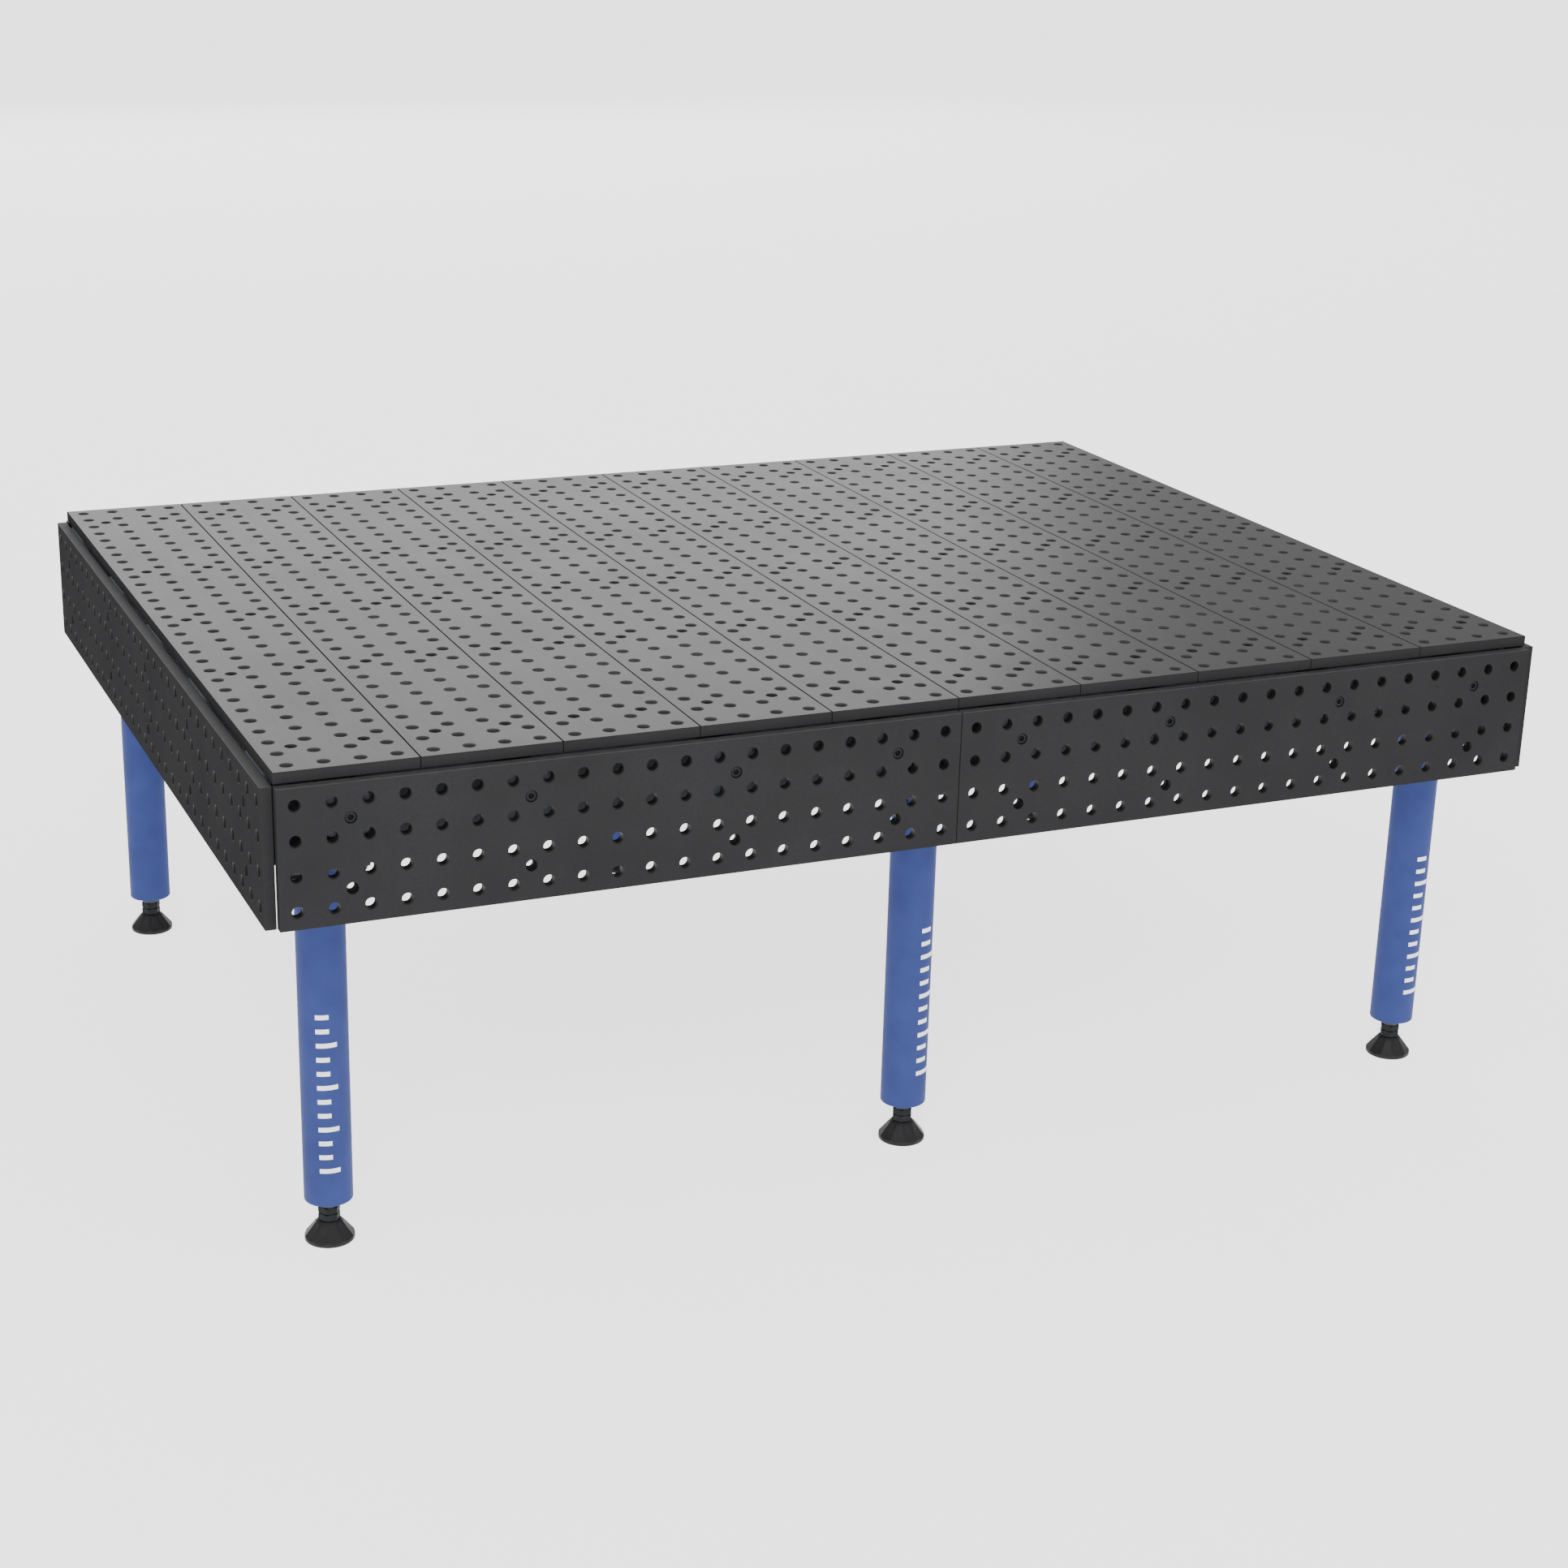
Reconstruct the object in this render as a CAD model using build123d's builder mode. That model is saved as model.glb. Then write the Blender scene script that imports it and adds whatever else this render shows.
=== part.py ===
"""Modular welding table: ten perforated planks and perforated side skirts on a tube frame with six legs.

Origin: centre of the footprint, on the floor. +X runs along the front, +Y to the back, +Z up.
All sizes are in millimetres.
"""
from build123d import *
from math import cos, copysign, isclose, pi
import os

os.makedirs("parts", exist_ok=True)

# --- Driving dimensions -------------------------------------------------------
TABLE_HEIGHT = 755.0            # floor to work surface, feet screwed fully in
TOP_LENGTH = 2000.0             # along X
TOP_DEPTH = 1500.0              # along Y
GRID = 50.0                     # hole pitch of the fixture system
HOLE_D = 16.0                   # fixture hole
HOLE_CHAMFER = 1.5

PLANK_COUNT = 10
PLANK_PITCH = TOP_LENGTH / PLANK_COUNT
PLANK_GAP = 1.2                 # visible seam between planks
PLANK_T = 16.0

SKIRT_T = 16.0
SKIRT_HEIGHT = 200.0
SKIRT_DROP = 19.0               # work surface to the top edge of the skirts
SKIRT_ROWS = 4
FRONT_SKIRT_REACH = 13.0        # how far the front and rear skirts stand out past the planks
SIDE_SKIRT_REACH = 17.0         # the same for the left and right skirts
PANEL_GAP = 1.0                 # seam between the two front panels, and at their outer ends

# Counterbored holes for M10 cap screws, between the rows of the grid
SCREW_D = 10.0
SCREW_CLEARANCE_D = 11.0
TAPPED_D = 10.2                 # tapped hole, drawn just clear of the screw
COUNTERBORE_D = 17.0
SCREW_HEAD_D = 15.8
SCREW_HEAD_H = 9.0
COUNTERBORE_DEPTH = 11.0
SOCKET_AF = 8.0                 # hexagon socket in the screw heads
SOCKET_DEPTH = 5.0
SCREW_LENGTH = 20.0             # under the head
PLANK_SCREW_OFFSET = 50.0                               # from the middle of a plank
SCREW_ROWS_Y = (-650.0, -300.0, 0.0, 300.0, 650.0)      # the frame rails lie under these
PANEL_SCREWS_X = (-400.0, -150.0, 150.0, 400.0)         # from the middle of a front panel

# Frame of 120 x 60 rectangular tube
RAIL_H = 120.0
RAIL_W = 60.0
RAIL_WALL = 4.0
TUBE_CORNER = 8.0               # outer corner radius of every rectangular tube
END_PLATE_T = 10.0
END_PLATE_W = 100.0
STANDOFF_SIZE = 60.0
STANDOFF_WALL = 6.0
STANDOFF_FACE_T = 12.0

# Legs
LEG_X = (-912.0, 0.0, 912.0)
LEG_Y = (-626.0, 626.0)
LEG_D = 70.0
LEG_WALL = 3.0
LEG_BOTTOM_Z = 65.0
MOUNT_PLATE = 160.0
MOUNT_PLATE_T = 10.0
COLLAR = 120.0                  # square clamping collar round the top of each leg
COLLAR_H = 25.0
COLLAR_FIT = 0.15               # radial clearance of the leg in its collar
COLLAR_CORNER = 8.0
COLLAR_BOLT_OFFSET = 46.0
COLLAR_BOLT_D = 12.0
COLLAR_BOLT_AF = 19.0
COLLAR_BOLT_HEAD_H = 7.5
COLLAR_BOLT_FIT = 0.2           # radial clearance of the bolts in the collar and its plate
CLAMP_SCREW_D = 12.0
CLAMP_SCREW_FIT = 0.1           # radial clearance in its tapped hole
CLAMP_SCREW_REACH = 5.0         # how far the clamp screw stands out of the collar

# Levelling feet, M20
SPINDLE_D = 20.0
THREAD_FIT = 0.05               # radial clearance in the bush and the lock nut
HEX_AF = 28.0
HEX_CHAMFER = 1.0
PAD_D = 72.0
PAD_RIM_H = 5.0
PAD_FACETS = 10
FACET_TOP_Z = 26.3
FACET_TOP_R = 19.6              # distance of a facet's top edge from the axis
PAD_TOP_Z = 30.3
PAD_TOP_R = 16.5
SPINDLE_HEX_Z = 30.6
SPINDLE_HEX_H = 11.0
NUT_Z = 42.0
NUT_H = 10.6
JOURNAL_D = 16.0                # plain end of the spindle, which turns in the pad
JOURNAL_Z = 12.0
JOURNAL_END_GAP = 0.3
BUSH_INSERT = 30.0              # length of the threaded bush inside the leg
BUSH_COLLAR_D = 28.0
FOOT_TRAVEL = 50.0
BUSH_RECESS = 3.0               # from the tube's lower end to the wide part of the bush
SPINDLE_CHAMFER = 1.5

# --- Heights and places worked out from them ------------------------------------
PLANK_BOTTOM_Z = TABLE_HEIGHT - PLANK_T
SKIRT_TOP_Z = TABLE_HEIGHT - SKIRT_DROP
SKIRT_MID_Z = SKIRT_TOP_Z - SKIRT_HEIGHT / 2
RAIL_TOP_Z = PLANK_BOTTOM_Z
RAIL_MID_Z = RAIL_TOP_Z - RAIL_H / 2
RAIL_BOTTOM_Z = RAIL_TOP_Z - RAIL_H
UPPER_SCREW_DZ = GRID           # the screw rows lie this far above and below the middle of a skirt
SCREW_ROW_Z = SKIRT_MID_Z + UPPER_SCREW_DZ
FRONT_FACE_Y = TOP_DEPTH / 2 + FRONT_SKIRT_REACH
FRONT_BACK_Y = FRONT_FACE_Y - SKIRT_T
SIDE_FACE_X = TOP_LENGTH / 2 + SIDE_SKIRT_REACH
SIDE_BACK_X = SIDE_FACE_X - SKIRT_T
PANEL_LENGTH = TOP_LENGTH / 2 - PANEL_GAP
PANEL_X = TOP_LENGTH / 4
PLANK_CENTRES_X = [(index + 0.5) * PLANK_PITCH - TOP_LENGTH / 2 for index in range(PLANK_COUNT)]
PLANK_SCREWS_X = [centre + side * PLANK_SCREW_OFFSET for centre in PLANK_CENTRES_X for side in (-1, 1)]
FRONT_SCREWS_X = [centre + x for centre in (-PANEL_X, PANEL_X) for x in PANEL_SCREWS_X]
RAIL_HALF_LENGTH = SIDE_BACK_X - END_PLATE_T
STANDOFF_LENGTH = FRONT_BACK_Y - (SCREW_ROWS_Y[-1] + RAIL_W / 2)
PLATE_Z = RAIL_BOTTOM_Z - MOUNT_PLATE_T
COLLAR_Z = PLATE_Z - COLLAR_H
LEG_TOP_Z = PLATE_Z
BUSH_BOTTOM_Z = NUT_Z + NUT_H
SPINDLE_TOP_Z = LEG_BOTTOM_Z + BUSH_INSERT + FOOT_TRAVEL
LEG_NAMES = {
    (x, y): f"{('front', 'rear')[j]}_{('left', 'middle', 'right')[i]}"
    for i, x in enumerate(LEG_X)
    for j, y in enumerate(LEG_Y)
}
HEX_R = HEX_AF / 2 / cos(pi / 6)


def save(piece, name):
    """Labels a finished piece and writes its STEP file."""
    piece.part.label = name
    export_step(piece.part, f"parts/{name}.step")


def hole_rims(piece):
    """The circular edges of the fixture holes, on both faces of a plate."""
    rims = piece.edges().filter_by(GeomType.CIRCLE)
    return rims.filter_by(lambda edge: edge.is_closed and isclose(edge.radius, HOLE_D / 2, abs_tol=0.01))


# --- Planks ---------------------------------------------------------------------
with BuildPart() as plank_master:
    with BuildSketch(Plane.XY.offset(PLANK_BOTTOM_Z)):
        Rectangle(PLANK_PITCH - PLANK_GAP, TOP_DEPTH)
        with GridLocations(GRID, GRID, int(PLANK_PITCH / GRID), int(TOP_DEPTH / GRID)):
            Circle(HOLE_D / 2, mode=Mode.SUBTRACT)
        with Locations(*[(x, y) for x in (-PLANK_SCREW_OFFSET, PLANK_SCREW_OFFSET) for y in SCREW_ROWS_Y]):
            Circle(SCREW_CLEARANCE_D / 2, mode=Mode.SUBTRACT)
    extrude(amount=PLANK_T)
    chamfer(hole_rims(plank_master), HOLE_CHAMFER)
    with BuildSketch(Plane.XY.offset(TABLE_HEIGHT)):
        with Locations(*[(x, y) for x in (-PLANK_SCREW_OFFSET, PLANK_SCREW_OFFSET) for y in SCREW_ROWS_Y]):
            Circle(COUNTERBORE_D / 2)
    extrude(amount=-COUNTERBORE_DEPTH, mode=Mode.SUBTRACT)

for number, plank_x in enumerate(PLANK_CENTRES_X, start=1):
    with BuildPart() as plank:
        add(plank_master.part.moved(Location((plank_x, 0, 0))))
    save(plank, f"plank_{number:02d}")


# --- Skirts ---------------------------------------------------------------------
def make_skirt(name, face_plane, length, screws_along):
    """A perforated plate. The plane lies on its outer face, at its middle, and points outwards."""
    screw_spots = [(x, y) for x in screws_along for y in (-UPPER_SCREW_DZ, UPPER_SCREW_DZ)]
    with BuildPart() as skirt:
        with BuildSketch(face_plane):
            Rectangle(length, SKIRT_HEIGHT)
            with GridLocations(GRID, GRID, round(length / GRID), SKIRT_ROWS):
                Circle(HOLE_D / 2, mode=Mode.SUBTRACT)
            with Locations(*screw_spots):
                Circle(SCREW_CLEARANCE_D / 2, mode=Mode.SUBTRACT)
        extrude(amount=-SKIRT_T)
        chamfer(hole_rims(skirt), HOLE_CHAMFER)
        with BuildSketch(face_plane):
            with Locations(*screw_spots):
                Circle(COUNTERBORE_D / 2)
        extrude(amount=-COUNTERBORE_DEPTH, mode=Mode.SUBTRACT)
    save(skirt, name)


for side, panel_x in (("left", -PANEL_X), ("right", PANEL_X)):
    front_plane = Plane(origin=(panel_x, -FRONT_FACE_Y, SKIRT_MID_Z), x_dir=(1, 0, 0), z_dir=(0, -1, 0))
    rear_plane = Plane(origin=(panel_x, FRONT_FACE_Y, SKIRT_MID_Z), x_dir=(-1, 0, 0), z_dir=(0, 1, 0))
    make_skirt(f"front_skirt_{side}", front_plane, PANEL_LENGTH, PANEL_SCREWS_X)
    make_skirt(f"rear_skirt_{side}", rear_plane, PANEL_LENGTH, PANEL_SCREWS_X)

left_plane = Plane(origin=(-SIDE_FACE_X, 0, SKIRT_MID_Z), x_dir=(0, -1, 0), z_dir=(-1, 0, 0))
right_plane = Plane(origin=(SIDE_FACE_X, 0, SKIRT_MID_Z), x_dir=(0, 1, 0), z_dir=(1, 0, 0))
make_skirt("left_skirt", left_plane, TOP_DEPTH, SCREW_ROWS_Y)
make_skirt("right_skirt", right_plane, TOP_DEPTH, SCREW_ROWS_Y)


# --- Frame ----------------------------------------------------------------------
def tube_section(width, height, wall):
    """The outline of a hot-formed rectangular tube, drawn into the open sketch."""
    RectangleRounded(width, height, TUBE_CORNER)
    RectangleRounded(width - 2 * wall, height - 2 * wall, TUBE_CORNER - wall, mode=Mode.SUBTRACT)



for number, rail_y in enumerate(SCREW_ROWS_Y, start=1):
    section_plane = Plane(origin=(-RAIL_HALF_LENGTH, rail_y, RAIL_MID_Z), x_dir=(0, 1, 0), z_dir=(1, 0, 0))
    with BuildPart() as rail:
        with BuildSketch(section_plane):
            tube_section(RAIL_W, RAIL_H, RAIL_WALL)
        extrude(amount=2 * RAIL_HALF_LENGTH)
        with BuildSketch(Plane.XY.offset(RAIL_TOP_Z)):
            with Locations(*[(x, rail_y) for x in PLANK_SCREWS_X]):
                Circle(TAPPED_D / 2)
        extrude(amount=-RAIL_WALL, mode=Mode.SUBTRACT)
    save(rail, f"frame_rail_{number}")

with BuildPart() as rail_end_plates:
    for side in (-1, 1):
        for rail_y in SCREW_ROWS_Y:
            plate_plane = Plane(
                origin=(side * SIDE_BACK_X, rail_y, RAIL_MID_Z), x_dir=(0, side, 0), z_dir=(side, 0, 0)
            )
            with BuildSketch(plate_plane):
                Rectangle(END_PLATE_W, RAIL_H)
                with Locations((0, SCREW_ROW_Z - RAIL_MID_Z)):
                    Circle(TAPPED_D / 2, mode=Mode.SUBTRACT)
            extrude(amount=-END_PLATE_T)
save(rail_end_plates, "rail_end_plates")

for side, beam_x in zip(("left", "middle", "right"), LEG_X):
    with BuildPart() as cross_beams:
        for rail_y, next_y in zip(SCREW_ROWS_Y[:-1], SCREW_ROWS_Y[1:]):
            start_y = rail_y + RAIL_W / 2
            beam_length = next_y - rail_y - RAIL_W
            beam_plane = Plane(origin=(beam_x, start_y, RAIL_MID_Z), x_dir=(-1, 0, 0), z_dir=(0, 1, 0))
            with BuildSketch(beam_plane):
                tube_section(RAIL_W, RAIL_H, RAIL_WALL)
            extrude(amount=beam_length)
    save(cross_beams, f"cross_beams_{side}")

with BuildPart() as skirt_standoffs:
    for side in (-1, 1):
        for x in FRONT_SCREWS_X:
            stand_plane = Plane(
                origin=(x, side * FRONT_BACK_Y, SCREW_ROW_Z), x_dir=(-side, 0, 0), z_dir=(0, side, 0)
            )
            with BuildSketch(stand_plane):
                RectangleRounded(STANDOFF_SIZE, STANDOFF_SIZE, TUBE_CORNER)
                Circle(TAPPED_D / 2, mode=Mode.SUBTRACT)
            extrude(amount=-STANDOFF_FACE_T)
            with BuildSketch(stand_plane.offset(-STANDOFF_FACE_T)):
                tube_section(STANDOFF_SIZE, STANDOFF_SIZE, STANDOFF_WALL)
            extrude(amount=-(STANDOFF_LENGTH - STANDOFF_FACE_T))
save(skirt_standoffs, "skirt_standoffs")


# --- Cap screws of the top and the skirts -----------------------------------------
with BuildPart() as screw_master:
    with BuildSketch():
        Circle(SCREW_HEAD_D / 2)
    extrude(amount=SCREW_HEAD_H)
    with BuildSketch():
        Circle(SCREW_D / 2)
    extrude(amount=-SCREW_LENGTH)
    with BuildSketch(Plane.XY.offset(SCREW_HEAD_H)):
        RegularPolygon(SOCKET_AF / 2, 6, major_radius=False)
    extrude(amount=-SOCKET_DEPTH, mode=Mode.SUBTRACT)

with BuildPart() as plank_screws:
    for x in PLANK_SCREWS_X:
        for y in SCREW_ROWS_Y:
            seat = Location((x, y, TABLE_HEIGHT - COUNTERBORE_DEPTH))
            add(screw_master.part.moved(seat))
save(plank_screws, "plank_screws")

with BuildPart() as skirt_screws:
    for side in (-1, 1):
        for x in FRONT_SCREWS_X:
            seat_y = side * (FRONT_FACE_Y - COUNTERBORE_DEPTH)
            seat_plane = Plane(origin=(x, seat_y, SCREW_ROW_Z), x_dir=(1, 0, 0), z_dir=(0, side, 0))
            add(screw_master.part.moved(seat_plane.location))
        for y in SCREW_ROWS_Y:
            seat_x = side * (SIDE_FACE_X - COUNTERBORE_DEPTH)
            seat_plane = Plane(origin=(seat_x, y, SCREW_ROW_Z), x_dir=(0, 1, 0), z_dir=(side, 0, 0))
            add(screw_master.part.moved(seat_plane.location))
save(skirt_screws, "skirt_screws")


# --- Leg mounts -------------------------------------------------------------------
collar_bolt_spots = [
    (x * COLLAR_BOLT_OFFSET, y * COLLAR_BOLT_OFFSET)
    for x in (-1, 1)
    for y in (-1, 1)
]

with BuildPart() as leg_mount_plates:
    for x, y in LEG_NAMES:
        with BuildSketch(Plane((x, y, PLATE_Z))):
            RectangleRounded(MOUNT_PLATE, MOUNT_PLATE, COLLAR_CORNER)
            with Locations(*collar_bolt_spots):
                Circle(COLLAR_BOLT_D / 2 + COLLAR_BOLT_FIT, mode=Mode.SUBTRACT)
        extrude(amount=MOUNT_PLATE_T)
save(leg_mount_plates, "leg_mount_plates")

for (x, y), name in LEG_NAMES.items():
    out = copysign(1, y)
    clamp_plane = Plane(origin=(x, y + out * COLLAR / 2, COLLAR_Z + COLLAR_H / 2), z_dir=(0, out, 0))
    with BuildPart() as collar:
        with BuildSketch(Plane((x, y, COLLAR_Z))):
            RectangleRounded(COLLAR, COLLAR, COLLAR_CORNER)
            Circle(LEG_D / 2 + COLLAR_FIT, mode=Mode.SUBTRACT)
            with Locations(*collar_bolt_spots):
                Circle(COLLAR_BOLT_D / 2 + COLLAR_BOLT_FIT, mode=Mode.SUBTRACT)
        extrude(amount=COLLAR_H)
        with BuildSketch(clamp_plane):
            Circle(CLAMP_SCREW_D / 2 + CLAMP_SCREW_FIT)
        extrude(amount=-(COLLAR - LEG_D) / 2, mode=Mode.SUBTRACT)
    save(collar, f"leg_collar_{name}")

with BuildPart() as collar_bolts:
    for x, y in LEG_NAMES:
        for dx, dy in collar_bolt_spots:
            with BuildSketch(Plane((x + dx, y + dy, COLLAR_Z - COLLAR_BOLT_HEAD_H))):
                RegularPolygon(COLLAR_BOLT_AF / 2, 6, major_radius=False)
            extrude(amount=COLLAR_BOLT_HEAD_H)
            with BuildSketch(Plane((x + dx, y + dy, COLLAR_Z))):
                Circle(COLLAR_BOLT_D / 2)
            extrude(amount=COLLAR_H + MOUNT_PLATE_T)
save(collar_bolts, "collar_bolts")

with BuildPart() as clamp_screws:
    for x, y in LEG_NAMES:
        out = copysign(1, y)
        outer_y = y + out * (COLLAR / 2 + CLAMP_SCREW_REACH)
        screw_length = COLLAR / 2 + CLAMP_SCREW_REACH - LEG_D / 2
        clamp_plane = Plane(origin=(x, outer_y, COLLAR_Z + COLLAR_H / 2), z_dir=(0, out, 0))
        with BuildSketch(clamp_plane):
            Circle(CLAMP_SCREW_D / 2)
        extrude(amount=-screw_length)
        with BuildSketch(clamp_plane):
            RegularPolygon(SOCKET_AF / 2, 6, major_radius=False)
        extrude(amount=-SOCKET_DEPTH, mode=Mode.SUBTRACT)
save(clamp_screws, "clamp_screws")


# --- Legs and levelling feet --------------------------------------------------------
for (x, y), name in LEG_NAMES.items():
    with BuildPart() as leg:
        with BuildSketch(Plane((x, y, LEG_BOTTOM_Z))):
            Circle(LEG_D / 2)
            Circle(LEG_D / 2 - LEG_WALL, mode=Mode.SUBTRACT)
        extrude(amount=LEG_TOP_Z - LEG_BOTTOM_Z)
    save(leg, f"leg_{name}")

with BuildPart() as leg_bushes:
    for x, y in LEG_NAMES:
        with BuildSketch(Plane((x, y, BUSH_BOTTOM_Z))):
            Circle(BUSH_COLLAR_D / 2)
            Circle(SPINDLE_D / 2 + THREAD_FIT, mode=Mode.SUBTRACT)
        extrude(amount=LEG_BOTTOM_Z + BUSH_INSERT - BUSH_BOTTOM_Z)
        with BuildSketch(Plane((x, y, LEG_BOTTOM_Z + BUSH_RECESS))):
            Circle(LEG_D / 2 - LEG_WALL)
            Circle(BUSH_COLLAR_D / 2, mode=Mode.SUBTRACT)
        extrude(amount=BUSH_INSERT - 2 * BUSH_RECESS)
save(leg_bushes, "leg_bushes")


def nut_blank(x, y, bottom_z, height):
    """A hexagonal solid whose corners are turned down at both ends."""
    with BuildPart() as barrel:
        with BuildSketch(Plane((x, y, bottom_z))):
            Circle(HEX_R)
        extrude(amount=height)
        chamfer(barrel.edges().filter_by(GeomType.CIRCLE), HEX_CHAMFER)
    with BuildPart() as blank:
        with BuildSketch(Plane((x, y, bottom_z))):
            RegularPolygon(HEX_AF / 2, 6, major_radius=False)
        extrude(amount=height)
        add(barrel.part, mode=Mode.INTERSECT)
    return blank.part


with BuildPart() as lock_nuts:
    for x, y in LEG_NAMES:
        add(nut_blank(x, y, NUT_Z, NUT_H))
    for x, y in LEG_NAMES:
        with BuildSketch(Plane((x, y, NUT_Z))):
            Circle(SPINDLE_D / 2 + THREAD_FIT)
        extrude(amount=NUT_H, mode=Mode.SUBTRACT)
save(lock_nuts, "lock_nuts")

for (x, y), name in LEG_NAMES.items():
    with BuildPart() as spindle:
        add(nut_blank(x, y, SPINDLE_HEX_Z, SPINDLE_HEX_H))
        with BuildSketch(Plane((x, y, SPINDLE_HEX_Z + SPINDLE_HEX_H))):
            Circle(SPINDLE_D / 2)
        extrude(amount=SPINDLE_TOP_Z - SPINDLE_HEX_Z - SPINDLE_HEX_H)
        chamfer(spindle.faces().sort_by(Axis.Z)[-1].edges(), SPINDLE_CHAMFER)
        with BuildSketch(Plane((x, y, JOURNAL_Z))):
            Circle(JOURNAL_D / 2)
        extrude(amount=SPINDLE_HEX_Z - JOURNAL_Z)
    save(spindle, f"spindle_{name}")

for (x, y), name in LEG_NAMES.items():
    with BuildPart() as pad:
        with BuildSketch(Plane((x, y, 0))):
            Circle(PAD_D / 2)
        extrude(amount=PAD_RIM_H)
        with BuildSketch(Plane((x, y, PAD_RIM_H))):
            RegularPolygon(PAD_D / 2, PAD_FACETS, major_radius=False)
        with BuildSketch(Plane((x, y, FACET_TOP_Z))):
            RegularPolygon(FACET_TOP_R, PAD_FACETS, major_radius=False)
        loft()
        with BuildSketch(Plane((x, y, 0))):
            Circle(PAD_D / 2)
        extrude(amount=PAD_TOP_Z, mode=Mode.INTERSECT)
        with BuildSketch(Plane((x, y, FACET_TOP_Z))):
            Circle(FACET_TOP_R)
        with BuildSketch(Plane((x, y, PAD_TOP_Z))):
            Circle(PAD_TOP_R)
        loft()
        with BuildSketch(Plane((x, y, JOURNAL_Z - JOURNAL_END_GAP))):
            Circle(JOURNAL_D / 2 + THREAD_FIT)
        extrude(amount=PAD_TOP_Z, mode=Mode.SUBTRACT)
    save(pad, f"pad_{name}")
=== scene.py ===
"""Looks of the perforated welding table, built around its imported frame.

Metres throughout. The origin is the centre of the footprint, on the floor; +X runs along the front, +Z up.
"""
import math
import bmesh
import bpy
from mathutils import Matrix, Vector


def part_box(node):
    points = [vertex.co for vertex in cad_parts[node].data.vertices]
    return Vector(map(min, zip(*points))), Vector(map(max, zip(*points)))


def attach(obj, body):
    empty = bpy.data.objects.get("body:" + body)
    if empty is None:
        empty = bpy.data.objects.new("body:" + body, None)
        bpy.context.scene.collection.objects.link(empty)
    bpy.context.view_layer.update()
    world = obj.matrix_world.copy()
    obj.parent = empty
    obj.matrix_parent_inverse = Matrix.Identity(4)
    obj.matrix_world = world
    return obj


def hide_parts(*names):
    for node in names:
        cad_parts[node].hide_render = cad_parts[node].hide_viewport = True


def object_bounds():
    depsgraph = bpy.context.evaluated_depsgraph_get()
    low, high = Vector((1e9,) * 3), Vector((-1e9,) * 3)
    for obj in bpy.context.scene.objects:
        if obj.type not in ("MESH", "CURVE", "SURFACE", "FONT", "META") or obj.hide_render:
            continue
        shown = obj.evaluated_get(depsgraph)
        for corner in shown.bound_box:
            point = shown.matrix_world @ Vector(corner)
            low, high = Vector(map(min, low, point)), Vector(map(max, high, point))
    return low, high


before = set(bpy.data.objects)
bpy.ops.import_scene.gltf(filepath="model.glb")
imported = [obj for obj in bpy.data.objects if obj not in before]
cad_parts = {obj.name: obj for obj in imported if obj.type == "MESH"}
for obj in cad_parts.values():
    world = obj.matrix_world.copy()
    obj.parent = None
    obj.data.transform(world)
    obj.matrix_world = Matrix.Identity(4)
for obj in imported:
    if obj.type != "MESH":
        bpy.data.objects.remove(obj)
cad_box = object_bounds()

MM = 0.001
TINY = 1e-6                     # points closer than this are one point
ROOT = "table"                  # the body that does not move
SIDES = ("left", "middle", "right")
LEG_PLACES = [f"{row}_{side}" for row in ("front", "rear") for side in SIDES]
PLANKS = [f"plank_{number:02d}" for number in range(1, 11)]
RAILS = [f"frame_rail_{number}" for number in range(1, 6)]
BEAMS = [f"cross_beams_{side}" for side in SIDES]

# --- Sizes of the plates and their holes --------------------------------------------
NET = 25 * MM                   # plates are laid out on a net of this spacing; every hole is centred on it
HOLE_PITCH = 50 * MM
HOLE_R = 8 * MM
HOLE_CHAMFER = 1.5 * MM
HOLE_STEPS = 10                 # sides of a hole in each quarter turn
SEAT_R = 8.5 * MM               # counterbore of a cap screw
SEAT_DEPTH = 11 * MM
SCREW_HOLE_R = 5.5 * MM
BURR = 0.3 * MM                 # broken edge of the counterbores
PLATE_EDGE = 0.6 * MM           # broken edge round a plate
PLATE_MERGE = 5 * TINY          # the two sides of a plate meet within this

# Places of the counterbores, in millimetres from the middle of their plate
PLANK_SEATS_ACROSS = (-50, 50)
PLANK_SEATS_ALONG = (-650, -300, 0, 300, 650)
PANEL_SEATS_ALONG = (-400, -150, 150, 400)
SKIRT_SEATS_ACROSS = (-50, 50)

# Slots of a plate's finishes, after the flat faces at 0
BORES = 1
UPPER_EDGE = 2
OTHER_EDGES = 3

# --- Sizes of the screws --------------------------------------------------------------
CAP_HEAD_R = 7.9 * MM
CAP_HEAD_H = 9 * MM
CAP_HEAD_EDGE = 0.8 * MM
CAP_SHANK_R = 5 * MM
CAP_LENGTH = 20 * MM
CAP_POINT = 1 * MM              # chamfer at the end of the shank
CAP_SOCKET_AF = 8 * MM
CAP_SOCKET_DEPTH = 5 * MM
CAP_SOCKET_CONE = 1 * MM
BOLT_AF = 19 * MM
BOLT_R = 6 * MM
BOLT_ROOT = 1 * MM              # the shank reaches this far into the head
BOLT_CHAMFER = 1.6 * MM
BOLT_OFFSET = 46 * MM           # from a leg's axis, both ways
HEX_AF = 28 * MM
HEX_CHAMFER = 2.4 * MM
HEX_FACE = 0.95                 # flat round face of a hexagon, as a share of its width across flats
HEX_CONE_RINGS = 7
HEX_CONE_SLOPE = 0.6

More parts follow.
